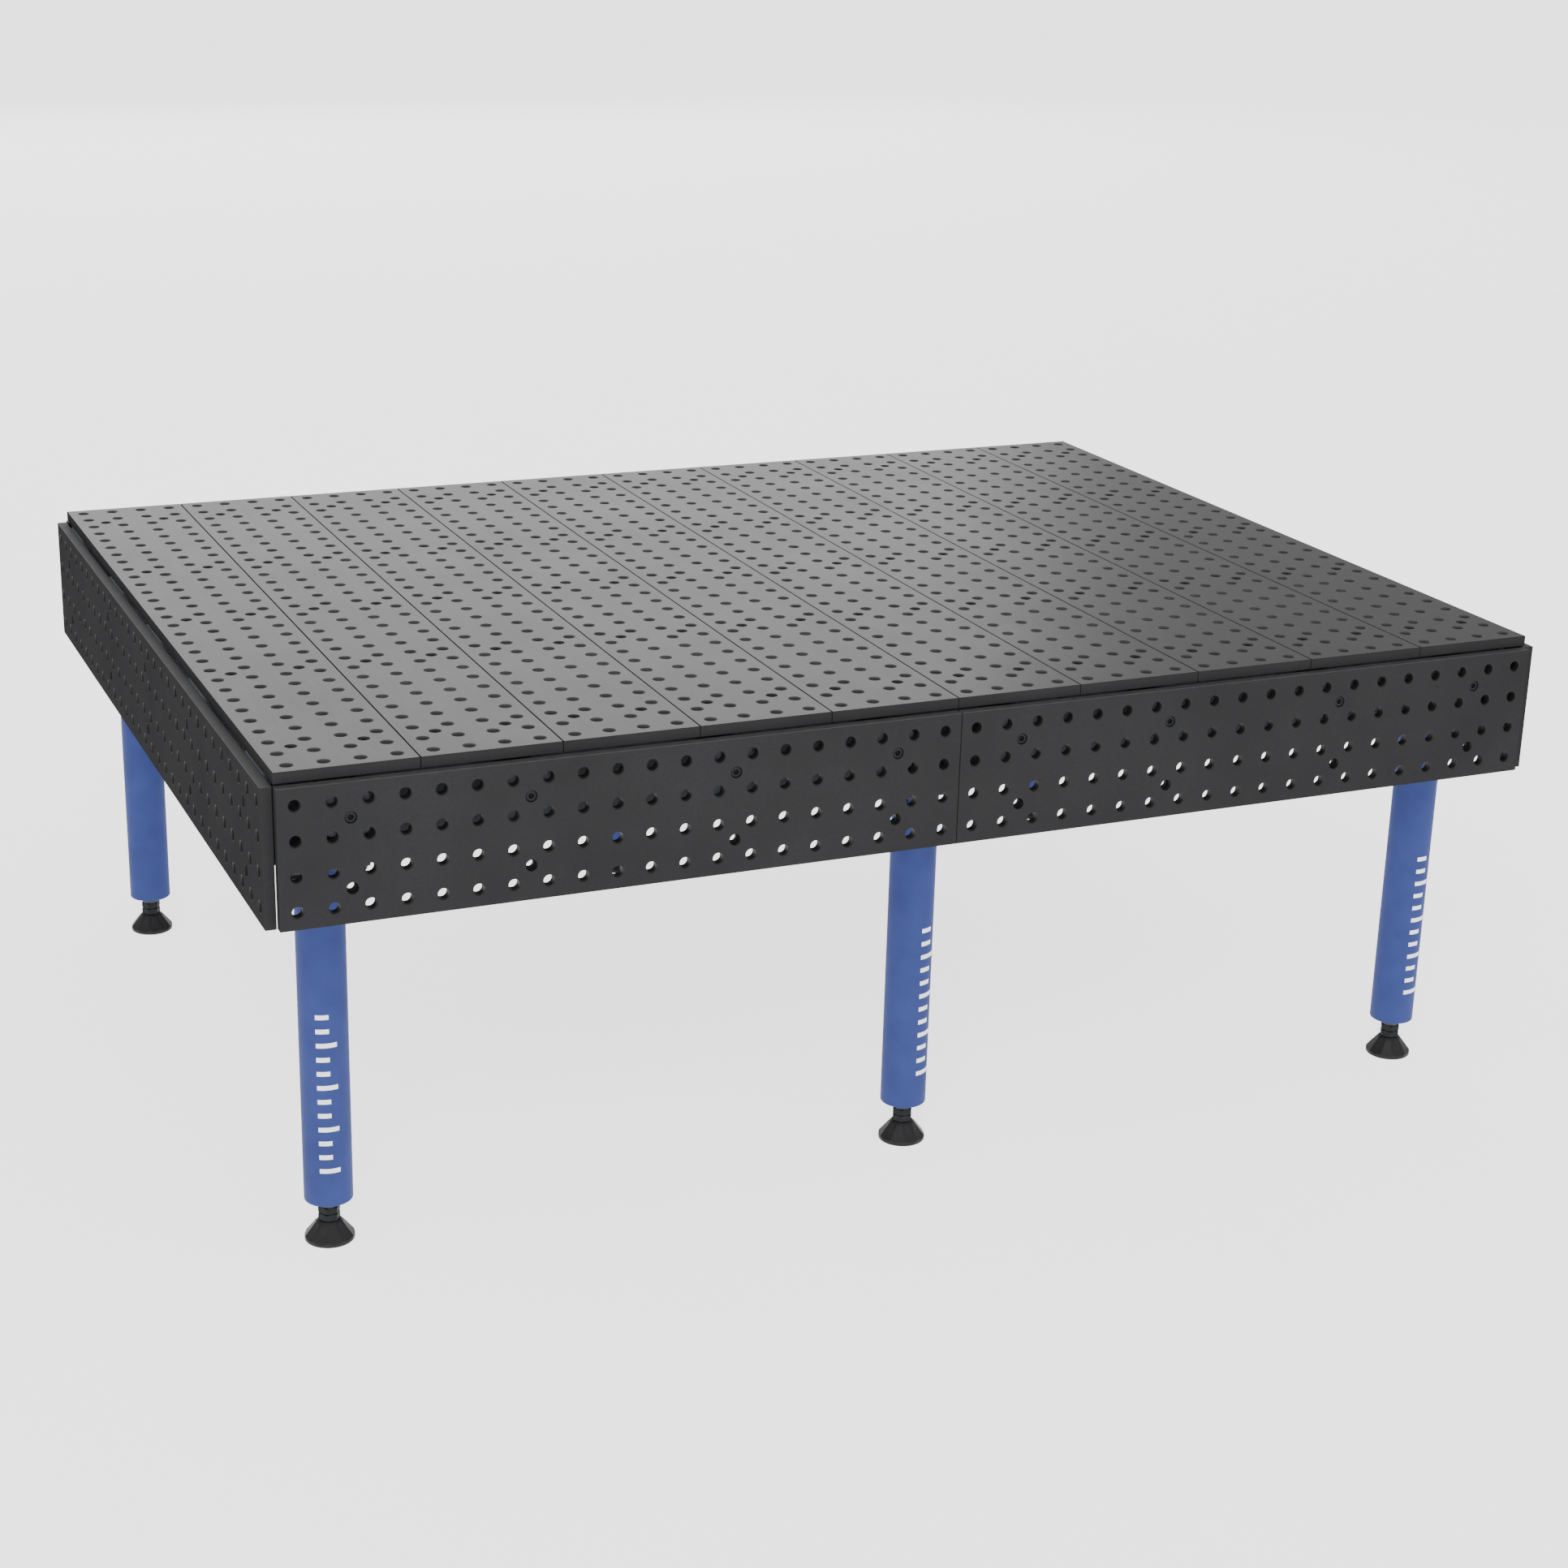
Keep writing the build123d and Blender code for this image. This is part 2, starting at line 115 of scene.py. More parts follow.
# --- Sizes of the legs and the feet ---------------------------------------------------
TUBE_WALL = 3 * MM
TUBE_LIP = 1.3 * MM             # rounding of the lower lip
COLLAR_FIT = 0.15 * MM
COLLAR_CORNER = 8 * MM
COLLAR_EDGE = 1.2 * MM
COLLAR_BORE_RIM = 5 * MM        # edges nearer to the bore than this stay sharp
BUSH_R = 14 * MM
BUSH_STEP = 3 * MM              # from the wide part of the bush to the tube's end, and to its own upper end
BUSH_EDGE = 0.8 * MM
THREAD_R = 10 * MM
THREAD_CORE_R = 8.5 * MM
THREAD_PITCH = 2.5 * MM
THREAD_END = 0.3 * MM           # the rod's ends are smaller than the core by this
THREAD_LEAD = 0.2               # of a pitch, where the helix starts over the rod's end
THREAD_CREST = (7 / 16, 9 / 16)     # of a pitch, from where to where the crest is flat
THREAD_MERGE = 10 * TINY        # one turn of the helix meets the next within this
NUT_FIT = 0.05 * MM
NUT_GAP = 0.4 * MM              # between the spindle's hexagon and the lock nut
PAD_GAP = 0.3 * MM              # between the spindle's hexagon and the pad
JOURNAL_R = 8 * MM
JOURNAL_FIT = 0.05 * MM
JOURNAL_CHAMFER = 1 * MM
PAD_FACETS = 10
PAD_FLOOR = 11.7 * MM           # bottom of the pad's socket
PAD_RIM_H = 5 * MM
PAD_RIM_EDGE = 0.8 * MM
PAD_RIM_RINGS = 7               # rings where the facets run out in the rim
PAD_RIM_RING_H = 0.45 * MM      # from one ring to the next
FACET_TOP_H = 26.3 * MM         # height of the facets' upper edge over the floor
FACET_TOP_R = 19.6 * MM
FACET_LEDGE = 0.6 * MM
PAD_TOP_R = 16.5 * MM
PAD_TOP_EDGE = 0.4 * MM

# --- Sizes of the marks and the welds -------------------------------------------------
MARK_FACINGS = {"front_left": -8, "front_middle": 30, "front_right": 15}    # degrees from -Y
MARK_BOTTOM = 122 * MM
MARK_STEP = 21.5 * MM
MARK_COUNT = 12
MARKS_PER_LONG = 3
MARK_HEIGHT = 7 * MM
MARK_LONG = 30 * MM
MARK_SHORT = 19 * MM
MARK_FILM = 0.16 * MM
MARK_BENDS = 10                 # faces along a bar, so that it follows the tube
WELD_R = 4 * MM
WELD_RIPPLE = 6 * MM
WELD_VALLEY = 0.86              # radius between two ripples, as a share of the full one
WELD_RISE = 1.2                 # an under bead's height over the beam's underside, in bead radii
UNDER_WELD_TRIM = 14 * MM       # beads are shorter than the beam is wide, and high, by these
SIDE_WELD_TRIM = 16 * MM

# --- Steps of a full turn, and how edges are shaded -----------------------------------
WELD_STEPS = 8
SCREW_STEPS = 24
THREAD_STEPS = 24
JOURNAL_STEPS = 48
BUSH_STEPS = 64
HEX_STEPS = 72
PAD_STEPS = 80
TUBE_STEPS = 96
SHARP_EDGE = 24                 # degrees; flatter edges are shaded smooth
EASED_EDGE = 30                 # degrees; sharper edges are rounded off by ease()

# --- Values and sockets that most materials share --------------------------------------
SOFT = {"Detail": 3.0, "Roughness": 0.55}       # the noise of soft patches
MIDDLE = {"From Min": 0.3, "From Max": 0.7}     # the part of a noise's range that holds nearly all of it
MIX_A, MIX_B = 6, 7                             # the colour sockets of a Mix node

# --- Studio ---------------------------------------------------------------------------
FLOOR_HALF = 60.0
FLOOR_FACES = 4                 # along each side
FLOOR_GLOW = 1.9
FRONT_WALL_LIGHT = 1.2
BACK_WALL_LIGHT = 0.5
WALL_FADE = (-0.7, 0.3)         # where the walls go from front to back, as the Y part of a direction
SWEEP_TOP = 9.0                 # degrees over the horizon where the floor's glow has faded into the walls
BACK_BOX_DISTANCE = 14.0
BACK_BOX_HEIGHT = 5.0
BACK_BOX_SIZE = (14.0, 7.0)
BACK_BOX_EDGE = 31.0            # its right-hand edge lies this many degrees right of straight back
BACK_BOX_POWER = 500.0
FRONT_BOX_PLACE = (-3.2, -6.0, 5.6)
FRONT_BOX_SIZE = (2.4, 2.4)
FRONT_BOX_POWER = 180.0
SENSOR = 36.0
LENS = 64.1
CAMERA_PLACE = (-1.7874, -4.1473, 1.9487)
CAMERA_TURN = (70.826, -1.433, -23.547)


# --- Node helpers -------------------------------------------------------------------
def colour(code):
    """An sRGB hex colour as linear red, green, blue and alpha."""
    channels = [int(code[k:k + 2], 16) / 255 for k in (1, 3, 5)]
    linear = [c / 12.92 if c <= 0.04045 else ((c + 0.055) / 1.055) ** 2.4 for c in channels]
    return (*linear, 1.0)


def add(tree, kind, sockets, **settings):
    """Adds a node. A socket is given a value, a hex colour, an output to link to, or a node.

    A node stands for the first of its outputs that is in use.
    """
    node = tree.nodes.new(kind)
    for name, value in settings.items():
        setattr(node, name, value)
    for name, value in sockets.items():
        if isinstance(value, bpy.types.Node):
            value = next(output for output in value.outputs if output.enabled)
        if isinstance(value, bpy.types.NodeSocket):
            tree.links.new(value, node.inputs[name])
        else:
            node.inputs[name].default_value = colour(value) if isinstance(value, str) else value
    return node


def per_size(size):
    """The scale of a pattern whose features are this large, in metres."""
    return 1 / size


def start_material(name):
    """An empty material, and its node tree and Object coordinates."""
    made = bpy.data.materials.new(name)
    made.use_nodes = True
    made.node_tree.nodes.clear()
    place = add(made.node_tree, "ShaderNodeTexCoord", {}).outputs["Object"]
    return made, made.node_tree, place


def finish_material(made, tree, sockets):
    """Adds the surface shader and the output."""
    shader = add(tree, "ShaderNodeBsdfPrincipled", sockets)
    add(tree, "ShaderNodeOutputMaterial", {"Surface": shader})
    return made


# --- Materials ----------------------------------------------------------------------
def nitrided_plate_steel(name, base, light, dark, roughness, mirror):
    """Laser-cut S355 plate, plasma nitrided.

    The compound layer is a dark grey ceramic, with faint furnace clouds, fine rolling lines along the plate
    and a slightly rubbed tone here and there. The mirror value is how much light it mirrors: the planks are
    satin and bright at a grazing view, and the skirts are matt.
    """
    made, tree, place = start_material(name)
    along = add(tree, "ShaderNodeMapping", {"Vector": place, "Scale": (1.0, 0.06, 1.0)})
    clouds = add(tree, "ShaderNodeTexNoise", {"Vector": place, "Scale": per_size(170 * MM), **SOFT})
    rolled = add(tree, "ShaderNodeTexNoise", {
        "Vector": along, "Scale": per_size(5 * MM), "Detail": 2.0, "Roughness": 0.55,
    })
    grain = add(tree, "ShaderNodeTexNoise", {       # real grain is 0.1 mm; drawn coarser so that it shows
        "Vector": place, "Scale": per_size(1.6 * MM), "Detail": 2.0, "Roughness": 0.55,
    })
    rubbed = add(tree, "ShaderNodeTexNoise", {
        "Vector": place, "Scale": per_size(46 * MM), "Detail": 5.0, "Roughness": 0.65,
    })
    cloudy = add(tree, "ShaderNodeMapRange", {"Value": clouds, **MIDDLE, "To Min": 0.0, "To Max": 1.0})
    lined = add(tree, "ShaderNodeMapRange", {"Value": rolled, **MIDDLE, "To Min": 0.0, "To Max": 0.3})
    bare = add(tree, "ShaderNodeMapRange", {
        "Value": rubbed, "From Min": 0.60, "From Max": 0.74, "To Min": 0.0, "To Max": 0.35,
    })
    tone = add(tree, "ShaderNodeMix", {"Factor": cloudy, MIX_A: base, MIX_B: light}, data_type="RGBA")
    tone = add(tree, "ShaderNodeMix", {"Factor": lined, MIX_A: tone, MIX_B: dark}, data_type="RGBA")
    tone = add(tree, "ShaderNodeMix", {"Factor": bare, MIX_A: tone, MIX_B: light}, data_type="RGBA")
    cloud_gloss = add(tree, "ShaderNodeMapRange", {
        "Value": clouds, **MIDDLE, "To Min": -0.015, "To Max": 0.015,
    })
    line_gloss = add(tree, "ShaderNodeMapRange", {
        "Value": rolled, **MIDDLE, "To Min": -0.01, "To Max": 0.01,
    })
    spread = add(tree, "ShaderNodeMath", {0: cloud_gloss, 1: line_gloss})
    return finish_material(made, tree, {
        "Base Color": tone, "IOR": 1.5, "Specular IOR Level": mirror,
        "Roughness": add(tree, "ShaderNodeMath", {0: spread, 1: roughness}),
        "Normal": add(tree, "ShaderNodeBump", {"Height": grain, "Distance": 0.012 * MM}),
    })


def reamed_bore_steel_painted_fill(name, base, light):
    """Bores cut by laser and reamed: worn grey, with fine rings from the tool. The greys are raised as
    painted fill light, so that the walls look lit deep inside the holes.
    """
    made, tree, place = start_material(name)
    around = add(tree, "ShaderNodeMapping", {"Vector": place, "Scale": (0.2, 0.2, 1.0)})
    rings = add(tree, "ShaderNodeTexNoise", {
        "Vector": around, "Scale": per_size(0.9 * MM), "Detail": 2.0, "Roughness": 0.55,
    })
    worn = add(tree, "ShaderNodeTexNoise", {
        "Vector": place, "Scale": per_size(12 * MM), "Detail": 4.0, "Roughness": 0.55,
    })
    patches = add(tree, "ShaderNodeMapRange", {"Value": worn, **MIDDLE, "To Min": 0.0, "To Max": 1.0})
    return finish_material(made, tree, {
        "Specular IOR Level": 0.2,
        "Base Color": add(tree, "ShaderNodeMix", {
            "Factor": patches, MIX_A: base, MIX_B: light,
        }, data_type="RGBA"),
        "Roughness": add(tree, "ShaderNodeMapRange", {
            "Value": worn, **MIDDLE, "To Min": 0.5, "To Max": 0.62,
        }),
        "Normal": add(tree, "ShaderNodeBump", {"Height": rings, "Distance": 0.02 * MM}),
    })


def powder_coated_steel_tube():
    """Steel tube with a baked blue polyester powder coat: an even, dull skin with a fine orange peel."""
    made, tree, place = start_material("powder_coated_steel_tube")
    peel = add(tree, "ShaderNodeTexNoise", {
        "Vector": place, "Scale": per_size(2.6 * MM), "Detail": 1.5, "Roughness": 0.55,
    })
    flow = add(tree, "ShaderNodeTexNoise", {
        "Vector": place, "Scale": per_size(60 * MM), "Detail": 2.0, "Roughness": 0.55,
    })
    depth = add(tree, "ShaderNodeMapRange", {"Value": flow, **MIDDLE, "To Min": 0.0, "To Max": 1.0})
    waves = add(tree, "ShaderNodeBump", {"Height": flow, "Distance": 0.15 * MM})
    tone = add(tree, "ShaderNodeMix", {
        "Factor": depth, MIX_A: "#333D6E", MIX_B: "#384379",
    }, data_type="RGBA")
    return finish_material(made, tree, {
        "Base Color": tone, "Specular IOR Level": 0.04,
        "Roughness": add(tree, "ShaderNodeMapRange", {
            "Value": peel, **MIDDLE, "To Min": 0.46, "To Max": 0.56,
        }),
        "Normal": add(tree, "ShaderNodeBump", {"Height": peel, "Distance": 0.03 * MM, "Normal": waves}),
    })


def black_oxide_fastener_steel():
    """Turned and rolled steel, chemically blacked and oiled: near black, worn grey on the high spots."""
    made, tree, place = start_material("black_oxide_fastener_steel")
    around = add(tree, "ShaderNodeMapping", {"Vector": place, "Scale": (0.15, 0.15, 1.0)})
    turned = add(tree, "ShaderNodeTexNoise", {
        "Vector": around, "Scale": per_size(0.8 * MM), "Detail": 2.0, "Roughness": 0.55,
    })
    worn = add(tree, "ShaderNodeTexNoise", {
        "Vector": place, "Scale": per_size(9 * MM), "Detail": 4.0, "Roughness": 0.55,
    })
    bare = add(tree, "ShaderNodeMapRange", {
        "Value": worn, "From Min": 0.52, "From Max": 0.72, "To Min": 0.0, "To Max": 0.7,
    })
    tone = add(tree, "ShaderNodeMix", {"Factor": bare, MIX_A: "#252628", MIX_B: "#2F3031"}, data_type="RGBA")
    return finish_material(made, tree, {
        "Base Color": tone, "Specular IOR Level": 0.04,
        "Roughness": add(tree, "ShaderNodeMapRange", {
            "Value": worn, **MIDDLE, "To Min": 0.42, "To Max": 0.54,
        }),
        "Normal": add(tree, "ShaderNodeBump", {"Height": turned, "Distance": 0.012 * MM}),
    })


def moulded_glass_filled_nylon():
    """Injection-moulded black nylon with glass fibre: satin faces with a faint fibre mottle and scuffs."""
    made, tree, place = start_material("moulded_glass_filled_nylon")
    fibre = add(tree, "ShaderNodeTexNoise", {"Vector": place, "Scale": per_size(0.9 * MM), **SOFT})
    scuff = add(tree, "ShaderNodeTexNoise", {
        "Vector": place, "Scale": per_size(14 * MM), "Detail": 5.0, "Roughness": 0.65,
    })
    rubbed = add(tree, "ShaderNodeMapRange", {
        "Value": scuff, "From Min": 0.5, "From Max": 0.75, "To Min": 0.0, "To Max": 0.5,
    })
    tone = add(tree, "ShaderNodeMix", {
        "Factor": rubbed, MIX_A: "#29292A", MIX_B: "#303031",
    }, data_type="RGBA")
    return finish_material(made, tree, {
        "Base Color": tone, "Specular IOR Level": 0.08,
        "Roughness": add(tree, "ShaderNodeMapRange", {
            "Value": scuff, **MIDDLE, "To Min": 0.34, "To Max": 0.40,
        }),
        "Normal": add(tree, "ShaderNodeBump", {"Height": fibre, "Distance": 0.004 * MM}),
    })


def primed_frame_steel_painted_fill():
    """Hot-formed steel tube, blasted and sprayed: matt primer with a fine blasted tooth. Its blue-grey is
    lifted well above the frame's dark paint as painted fill light, for the shade under the top.
    """
    made, tree, place = start_material("primed_frame_steel_painted_fill")
    tooth = add(tree, "ShaderNodeTexNoise", {"Vector": place, "Scale": per_size(1.4 * MM), **SOFT})
    spray = add(tree, "ShaderNodeTexNoise", {"Vector": place, "Scale": per_size(90 * MM), **SOFT})
    passes = add(tree, "ShaderNodeMapRange", {"Value": spray, **MIDDLE, "To Min": 0.0, "To Max": 1.0})
    # Painted fill light: these greys are several times lighter than the dark paint, to stand in for light in
    # the shade under the top.
    tone = add(tree, "ShaderNodeMix", {
        "Factor": passes, MIX_A: "#464950", MIX_B: "#51555D",
    }, data_type="RGBA")
    return finish_material(made, tree, {
        "Base Color": tone, "IOR": 1.5,
        "Roughness": add(tree, "ShaderNodeMapRange", {
            "Value": tooth, **MIDDLE, "To Min": 0.58, "To Max": 0.74,
        }),
        "Normal": add(tree, "ShaderNodeBump", {"Height": tooth, "Distance": 0.05 * MM}),
    })


def sand_cast_iron():
    """Grey iron cast in sand and dipped in black lacquer: dull, with a pebbled skin left by the sand."""
    made, tree, place = start_material("sand_cast_iron")
    sand = add(tree, "ShaderNodeTexNoise", {
        "Vector": place, "Scale": per_size(1.8 * MM), "Detail": 4.0, "Roughness": 0.7,
    })
    dip = add(tree, "ShaderNodeTexNoise", {"Vector": place, "Scale": per_size(30 * MM), **SOFT})
    runs = add(tree, "ShaderNodeMapRange", {"Value": dip, **MIDDLE, "To Min": 0.0, "To Max": 1.0})
    tone = add(tree, "ShaderNodeMix", {"Factor": runs, MIX_A: "#252628", MIX_B: "#313236"}, data_type="RGBA")
    return finish_material(made, tree, {
        "Base Color": tone, "IOR": 1.5,
        "Roughness": add(tree, "ShaderNodeMapRange", {
            "Value": sand, **MIDDLE, "To Min": 0.5, "To Max": 0.72,
        }),
        "Normal": add(tree, "ShaderNodeBump", {"Height": sand, "Distance": 0.18 * MM}),
    })


def stencilled_white_enamel():
    """White enamel rolled on through a stencil: flat white, a little thin and uneven in places."""
    made, tree, place = start_material("stencilled_white_enamel")
    roller = add(tree, "ShaderNodeTexNoise", {
        "Vector": place, "Scale": per_size(3 * MM), "Detail": 2.0, "Roughness": 0.55,
    })
    thin = add(tree, "ShaderNodeMapRange", {"Value": roller, **MIDDLE, "To Min": 0.0, "To Max": 1.0})
    tone = add(tree, "ShaderNodeMix", {"Factor": thin, MIX_A: "#F2F3F5", MIX_B: "#FFFFFF"}, data_type="RGBA")
    return finish_material(made, tree, {
        "Base Color": tone, "IOR": 1.5,
        "Roughness": add(tree, "ShaderNodeMapRange", {
            "Value": roller, **MIDDLE, "To Min": 0.4, "To Max": 0.52,
        }),
        "Normal": add(tree, "ShaderNodeBump", {"Height": roller, "Distance": 0.02 * MM}),
    })


def steel_weld_bead():
    """MIG weld under the same primer as the frame: slightly brighter and smoother than the blasted tube."""
    made, tree, place = start_material("steel_weld_bead")
    scale = add(tree, "ShaderNodeTexNoise", {"Vector": place, "Scale": per_size(2.2 * MM), **SOFT})
    bright = add(tree, "ShaderNodeMapRange", {"Value": scale, **MIDDLE, "To Min": 0.0, "To Max": 1.0})
    # Lifted like the frame's primer: painted fill light for the shade under the top.
    tone = add(tree, "ShaderNodeMix", {
        "Factor": bright, MIX_A: "#4E5158", MIX_B: "#5C5F66",
    }, data_type="RGBA")
    return finish_material(made, tree, {
        "Base Color": tone, "IOR": 1.5,
        "Roughness": add(tree, "ShaderNodeMapRange", {
            "Value": scale, **MIDDLE, "To Min": 0.42, "To Max": 0.6,
        }),
        "Normal": add(tree, "ShaderNodeBump", {"Height": scale, "Distance": 0.06 * MM}),
    })


def backlit_opal_acrylic():
    """Cast opal acrylic floor panels with lamps under them: an even, pale glow and only a faint shadow."""
    made, tree, place = start_material("backlit_opal_acrylic")
    haze = add(tree, "ShaderNodeTexNoise", {"Vector": place, "Scale": per_size(300 * MM), **SOFT})
    milky = add(tree, "ShaderNodeMapRange", {"Value": haze, **MIDDLE, "To Min": 0.0, "To Max": 1.0})
    tone = add(tree, "ShaderNodeMix", {
        "Factor": milky, MIX_A: "#F7F7F7", MIX_B: "#FAFAFA",
    }, data_type="RGBA")
    return finish_material(made, tree, {
        "Base Color": tone, "Roughness": 0.9,
        "Emission Color": (1, 1, 1, 1), "Emission Strength": FLOOR_GLOW,
    })


PLANK_STEEL = nitrided_plate_steel("nitrided_plank_steel", "#252526", "#2B2B2C", "#202023", 0.34, 0.42)
SKIRT_STEEL = nitrided_plate_steel("nitrided_skirt_steel", "#2C2C2D", "#313132", "#282829", 0.85, 0.0)
# Painted fill light: the bore greys stand in for light inside the holes; the plank copy also lightens the
# skirts' shaded upper edges.
PLANK_BORE_AND_LEDGE_PAINTED_FILL = reamed_bore_steel_painted_fill("plank_bore_and_ledge_painted_fill", "#424243", "#4B4B4C")
SKIRT_BORE_PAINTED_FILL = reamed_bore_steel_painted_fill("skirt_bore_painted_fill", "#1F1F20", "#242425")
LEG_PAINT = powder_coated_steel_tube()
FRAME_PRIMER_PAINTED_FILL = primed_frame_steel_painted_fill()
SCREW_STEEL = black_oxide_fastener_steel()
CAST_IRON = sand_cast_iron()
FOOT_NYLON = moulded_glass_filled_nylon()
MARK_ENAMEL = stencilled_white_enamel()
WELD_STEEL = steel_weld_bead()


# --- Making pieces ------------------------------------------------------------------
def mesh_of(bm, name):
    """Turns a bmesh into mesh data, with smooth curves and crisp edges."""
    bmesh.ops.remove_doubles(bm, verts=bm.verts, dist=TINY)
    mesh = bpy.data.meshes.new(name)
    bm.to_mesh(mesh)
    bm.free()
    mesh.shade_smooth()
    mesh.set_sharp_from_angle(angle=math.radians(SHARP_EDGE))
    return mesh


def mount(mesh, name, body, finishes, stands_for=()):
    """Shows mesh data as a piece that rides on a body and stands for CAD nodes."""
    piece = bpy.data.objects.new(name, mesh)
    bpy.context.scene.collection.objects.link(piece)
    for finish in finishes if isinstance(finishes, tuple) else (finishes,):
        mesh.materials.append(finish)
    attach(piece, body)
    if stands_for:
        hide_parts(*stands_for)
    return piece


def lathe(outline, steps, closed=False):
    """A turned solid about the Z axis. The outline is (radius, height) pairs; a closed one makes a ring."""
    bm = bmesh.new()
    points = [bm.verts.new((radius, 0, height)) for radius, height in outline]
    lines = [bm.edges.new(pair) for pair in zip(points, points[1:])]
    if closed:
        lines.append(bm.edges.new((points[-1], points[0])))
    bmesh.ops.spin(
        bm, geom=points + lines, cent=(0, 0, 0), axis=(0, 0, 1), dvec=(0, 0, 0),
        angle=math.tau, steps=steps, use_merge=True, use_duplicate=False,
    )
    bmesh.ops.remove_doubles(bm, verts=bm.verts, dist=TINY)
    bmesh.ops.recalc_face_normals(bm, faces=bm.faces)
    return bm


def always(item):
    """Lets every edge or point through."""
    return True


def ease(bm, width, segments=2, only=always):
    """Rounds off the sharp edges, or only those that pass a test."""
    sharp = [
        edge for edge in bm.edges
        if len(edge.link_faces) == 2 and edge.calc_face_angle() > math.radians(EASED_EDGE) and only(edge)
    ]
    bmesh.ops.bevel(
        bm, geom=sharp, affect="EDGES", offset=width, offset_type="OFFSET", segments=segments,
        profile=0.5, material=-1, clamp_overlap=True,
    )
    return bm


def mill(bm, sides, distance, only):
    """Moves what stands beyond the flats in onto them, for the points that pass a test.

    The distance is how far a flat lies from the axis, worked out from a height.
    """
    for vert in bm.verts:
        radius = vert.co.xy.length
        if radius < TINY or not only(vert):
            continue
        sector = math.tau / sides
        turn = (math.atan2(vert.co.y, vert.co.x) + math.tau / 4 + sector / 2) % sector - sector / 2
        flat = distance(vert.co.z) / math.cos(turn)
        if radius > flat:
            vert.co.x *= flat / radius
            vert.co.y *= flat / radius
    return bm


def copies(bm, matrices):
    """A bmesh with one copy of the given one at each of these places. The given one is used up."""
    mesh = bpy.data.meshes.new("pattern")
    bm.to_mesh(mesh)
    bm.free()
    whole = bmesh.new()
    for matrix in matrices:
        moved = mesh.copy()
        moved.transform(matrix)
        whole.from_mesh(moved)
        bpy.data.meshes.remove(moved)
    bpy.data.meshes.remove(mesh)
    return whole


def joined(*parts):
    """Several bmeshes as one."""
    whole = bmesh.new()
    for part in parts:
        mesh = bpy.data.meshes.new("part")
        part.to_mesh(mesh)
        part.free()
        whole.from_mesh(mesh)
        bpy.data.meshes.remove(mesh)
    return whole


def centre_of(node):
    """The middle of a CAD node's box."""
    low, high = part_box(node)
    return (low + high) / 2


def leg_axes():
    """One place for each leg: on its axis, at the height of the floor."""
    middles = [centre_of(f"leg_{place}") for place in LEG_PLACES]
    return [Matrix.Translation((middle.x, middle.y, 0)) for middle in middles]


def open_edges(drawn):
    """The open edges among what an extrusion made."""
    return [item for item in drawn if isinstance(item, bmesh.types.BMEdge) and item.is_boundary]


# --- Perforated plates ----------------------------------------------------------------
def net_place(co):
    """The crossing of the net that a point lies nearest to."""
    return round(co.x / NET), round(co.y / NET)


def open_holes(bm, places, radius):
    """Opens a round hole at each of these crossings of a flat net."""
    corners = [vert for vert in bm.verts if net_place(vert.co) in places]
    cut = bmesh.ops.bevel(
        bm, geom=corners, affect="VERTICES", offset=radius, segments=HOLE_STEPS, profile=0.5, material=-1
    )
    bmesh.ops.delete(bm, geom=cut["faces"], context="FACES")
    rims = {}
    for vert in bm.verts:
        if net_place(vert.co) in places:
            rims.setdefault(net_place(vert.co), []).append(vert)
    for (column, row), rim in rims.items():
        centre = Vector((column * NET, row * NET, 0))
        rim.sort(key=lambda vert: (math.atan2(vert.co.y - centre.y, vert.co.x - centre.x) + TINY) % math.tau)
        for index, vert in enumerate(rim):
            angle = math.tau * index / len(rim)
            vert.co = centre + radius * Vector((math.cos(angle), math.sin(angle), 0))


def sink_walls(bm, places, steps):
    """Draws the holes' rims down in steps, each a radius and a height."""
    rims = [edge for edge in bm.edges if edge.is_boundary and net_place(edge.verts[0].co) in places]
    for radius, height in steps:
        rims = open_edges(bmesh.ops.extrude_edge_only(bm, edges=rims)["geom"])
        for vert in {vert for edge in rims for vert in edge.verts}:
            column, row = net_place(vert.co)
            spoke = vert.co.xy - Vector((column * NET, row * NET))
            vert.co.xy = Vector((column * NET, row * NET)) + spoke.normalized() * radius
            vert.co.z = height


def plate_side(length_x, length_y, thickness, seats, seat_steps):
    """One face of a perforated plate at height 0, with its walls down to where the other side's begin."""
    columns, rows = (2 * math.ceil(length / NET / 2 - TINY) for length in (length_x, length_y))
    bm = bmesh.new()
    bmesh.ops.create_grid(bm, x_segments=columns, y_segments=rows, size=1.0)
    bmesh.ops.scale(bm, vec=(columns * NET / 2, rows * NET / 2, 1), verts=bm.verts)
    half_x, half_y = length_x / 2 - PLATE_EDGE, length_y / 2 - PLATE_EDGE
    for vert in bm.verts:
        vert.co.x = min(max(vert.co.x, -half_x), half_x)
        vert.co.y = min(max(vert.co.y, -half_y), half_y)
    outline = [edge for edge in bm.edges if edge.is_boundary]

    odd_columns = range(1 - columns // 2, columns // 2, 2)
    odd_rows = range(1 - rows // 2, rows // 2, 2)
    holes = {(column, row) for column in odd_columns for row in odd_rows}
    open_holes(bm, holes, HOLE_R + HOLE_CHAMFER)
    open_holes(bm, seats, seat_steps[0][0])
    sink_walls(bm, holes, [(HOLE_R, -HOLE_CHAMFER), (HOLE_R, -thickness / 2)])
    sink_walls(bm, seats, seat_steps[1:])

    for height, widen in ((-PLATE_EDGE, PLATE_EDGE), (-thickness / 2, 0)):
        outline = open_edges(bmesh.ops.extrude_edge_only(bm, edges=outline)["geom"])
        for vert in {vert for edge in outline for vert in edge.verts}:
            if abs(abs(vert.co.x) - half_x) < TINY:
                vert.co.x += math.copysign(widen, vert.co.x)
            if abs(abs(vert.co.y) - half_y) < TINY:
                vert.co.y += math.copysign(widen, vert.co.y)
            vert.co.z = height
    return bm


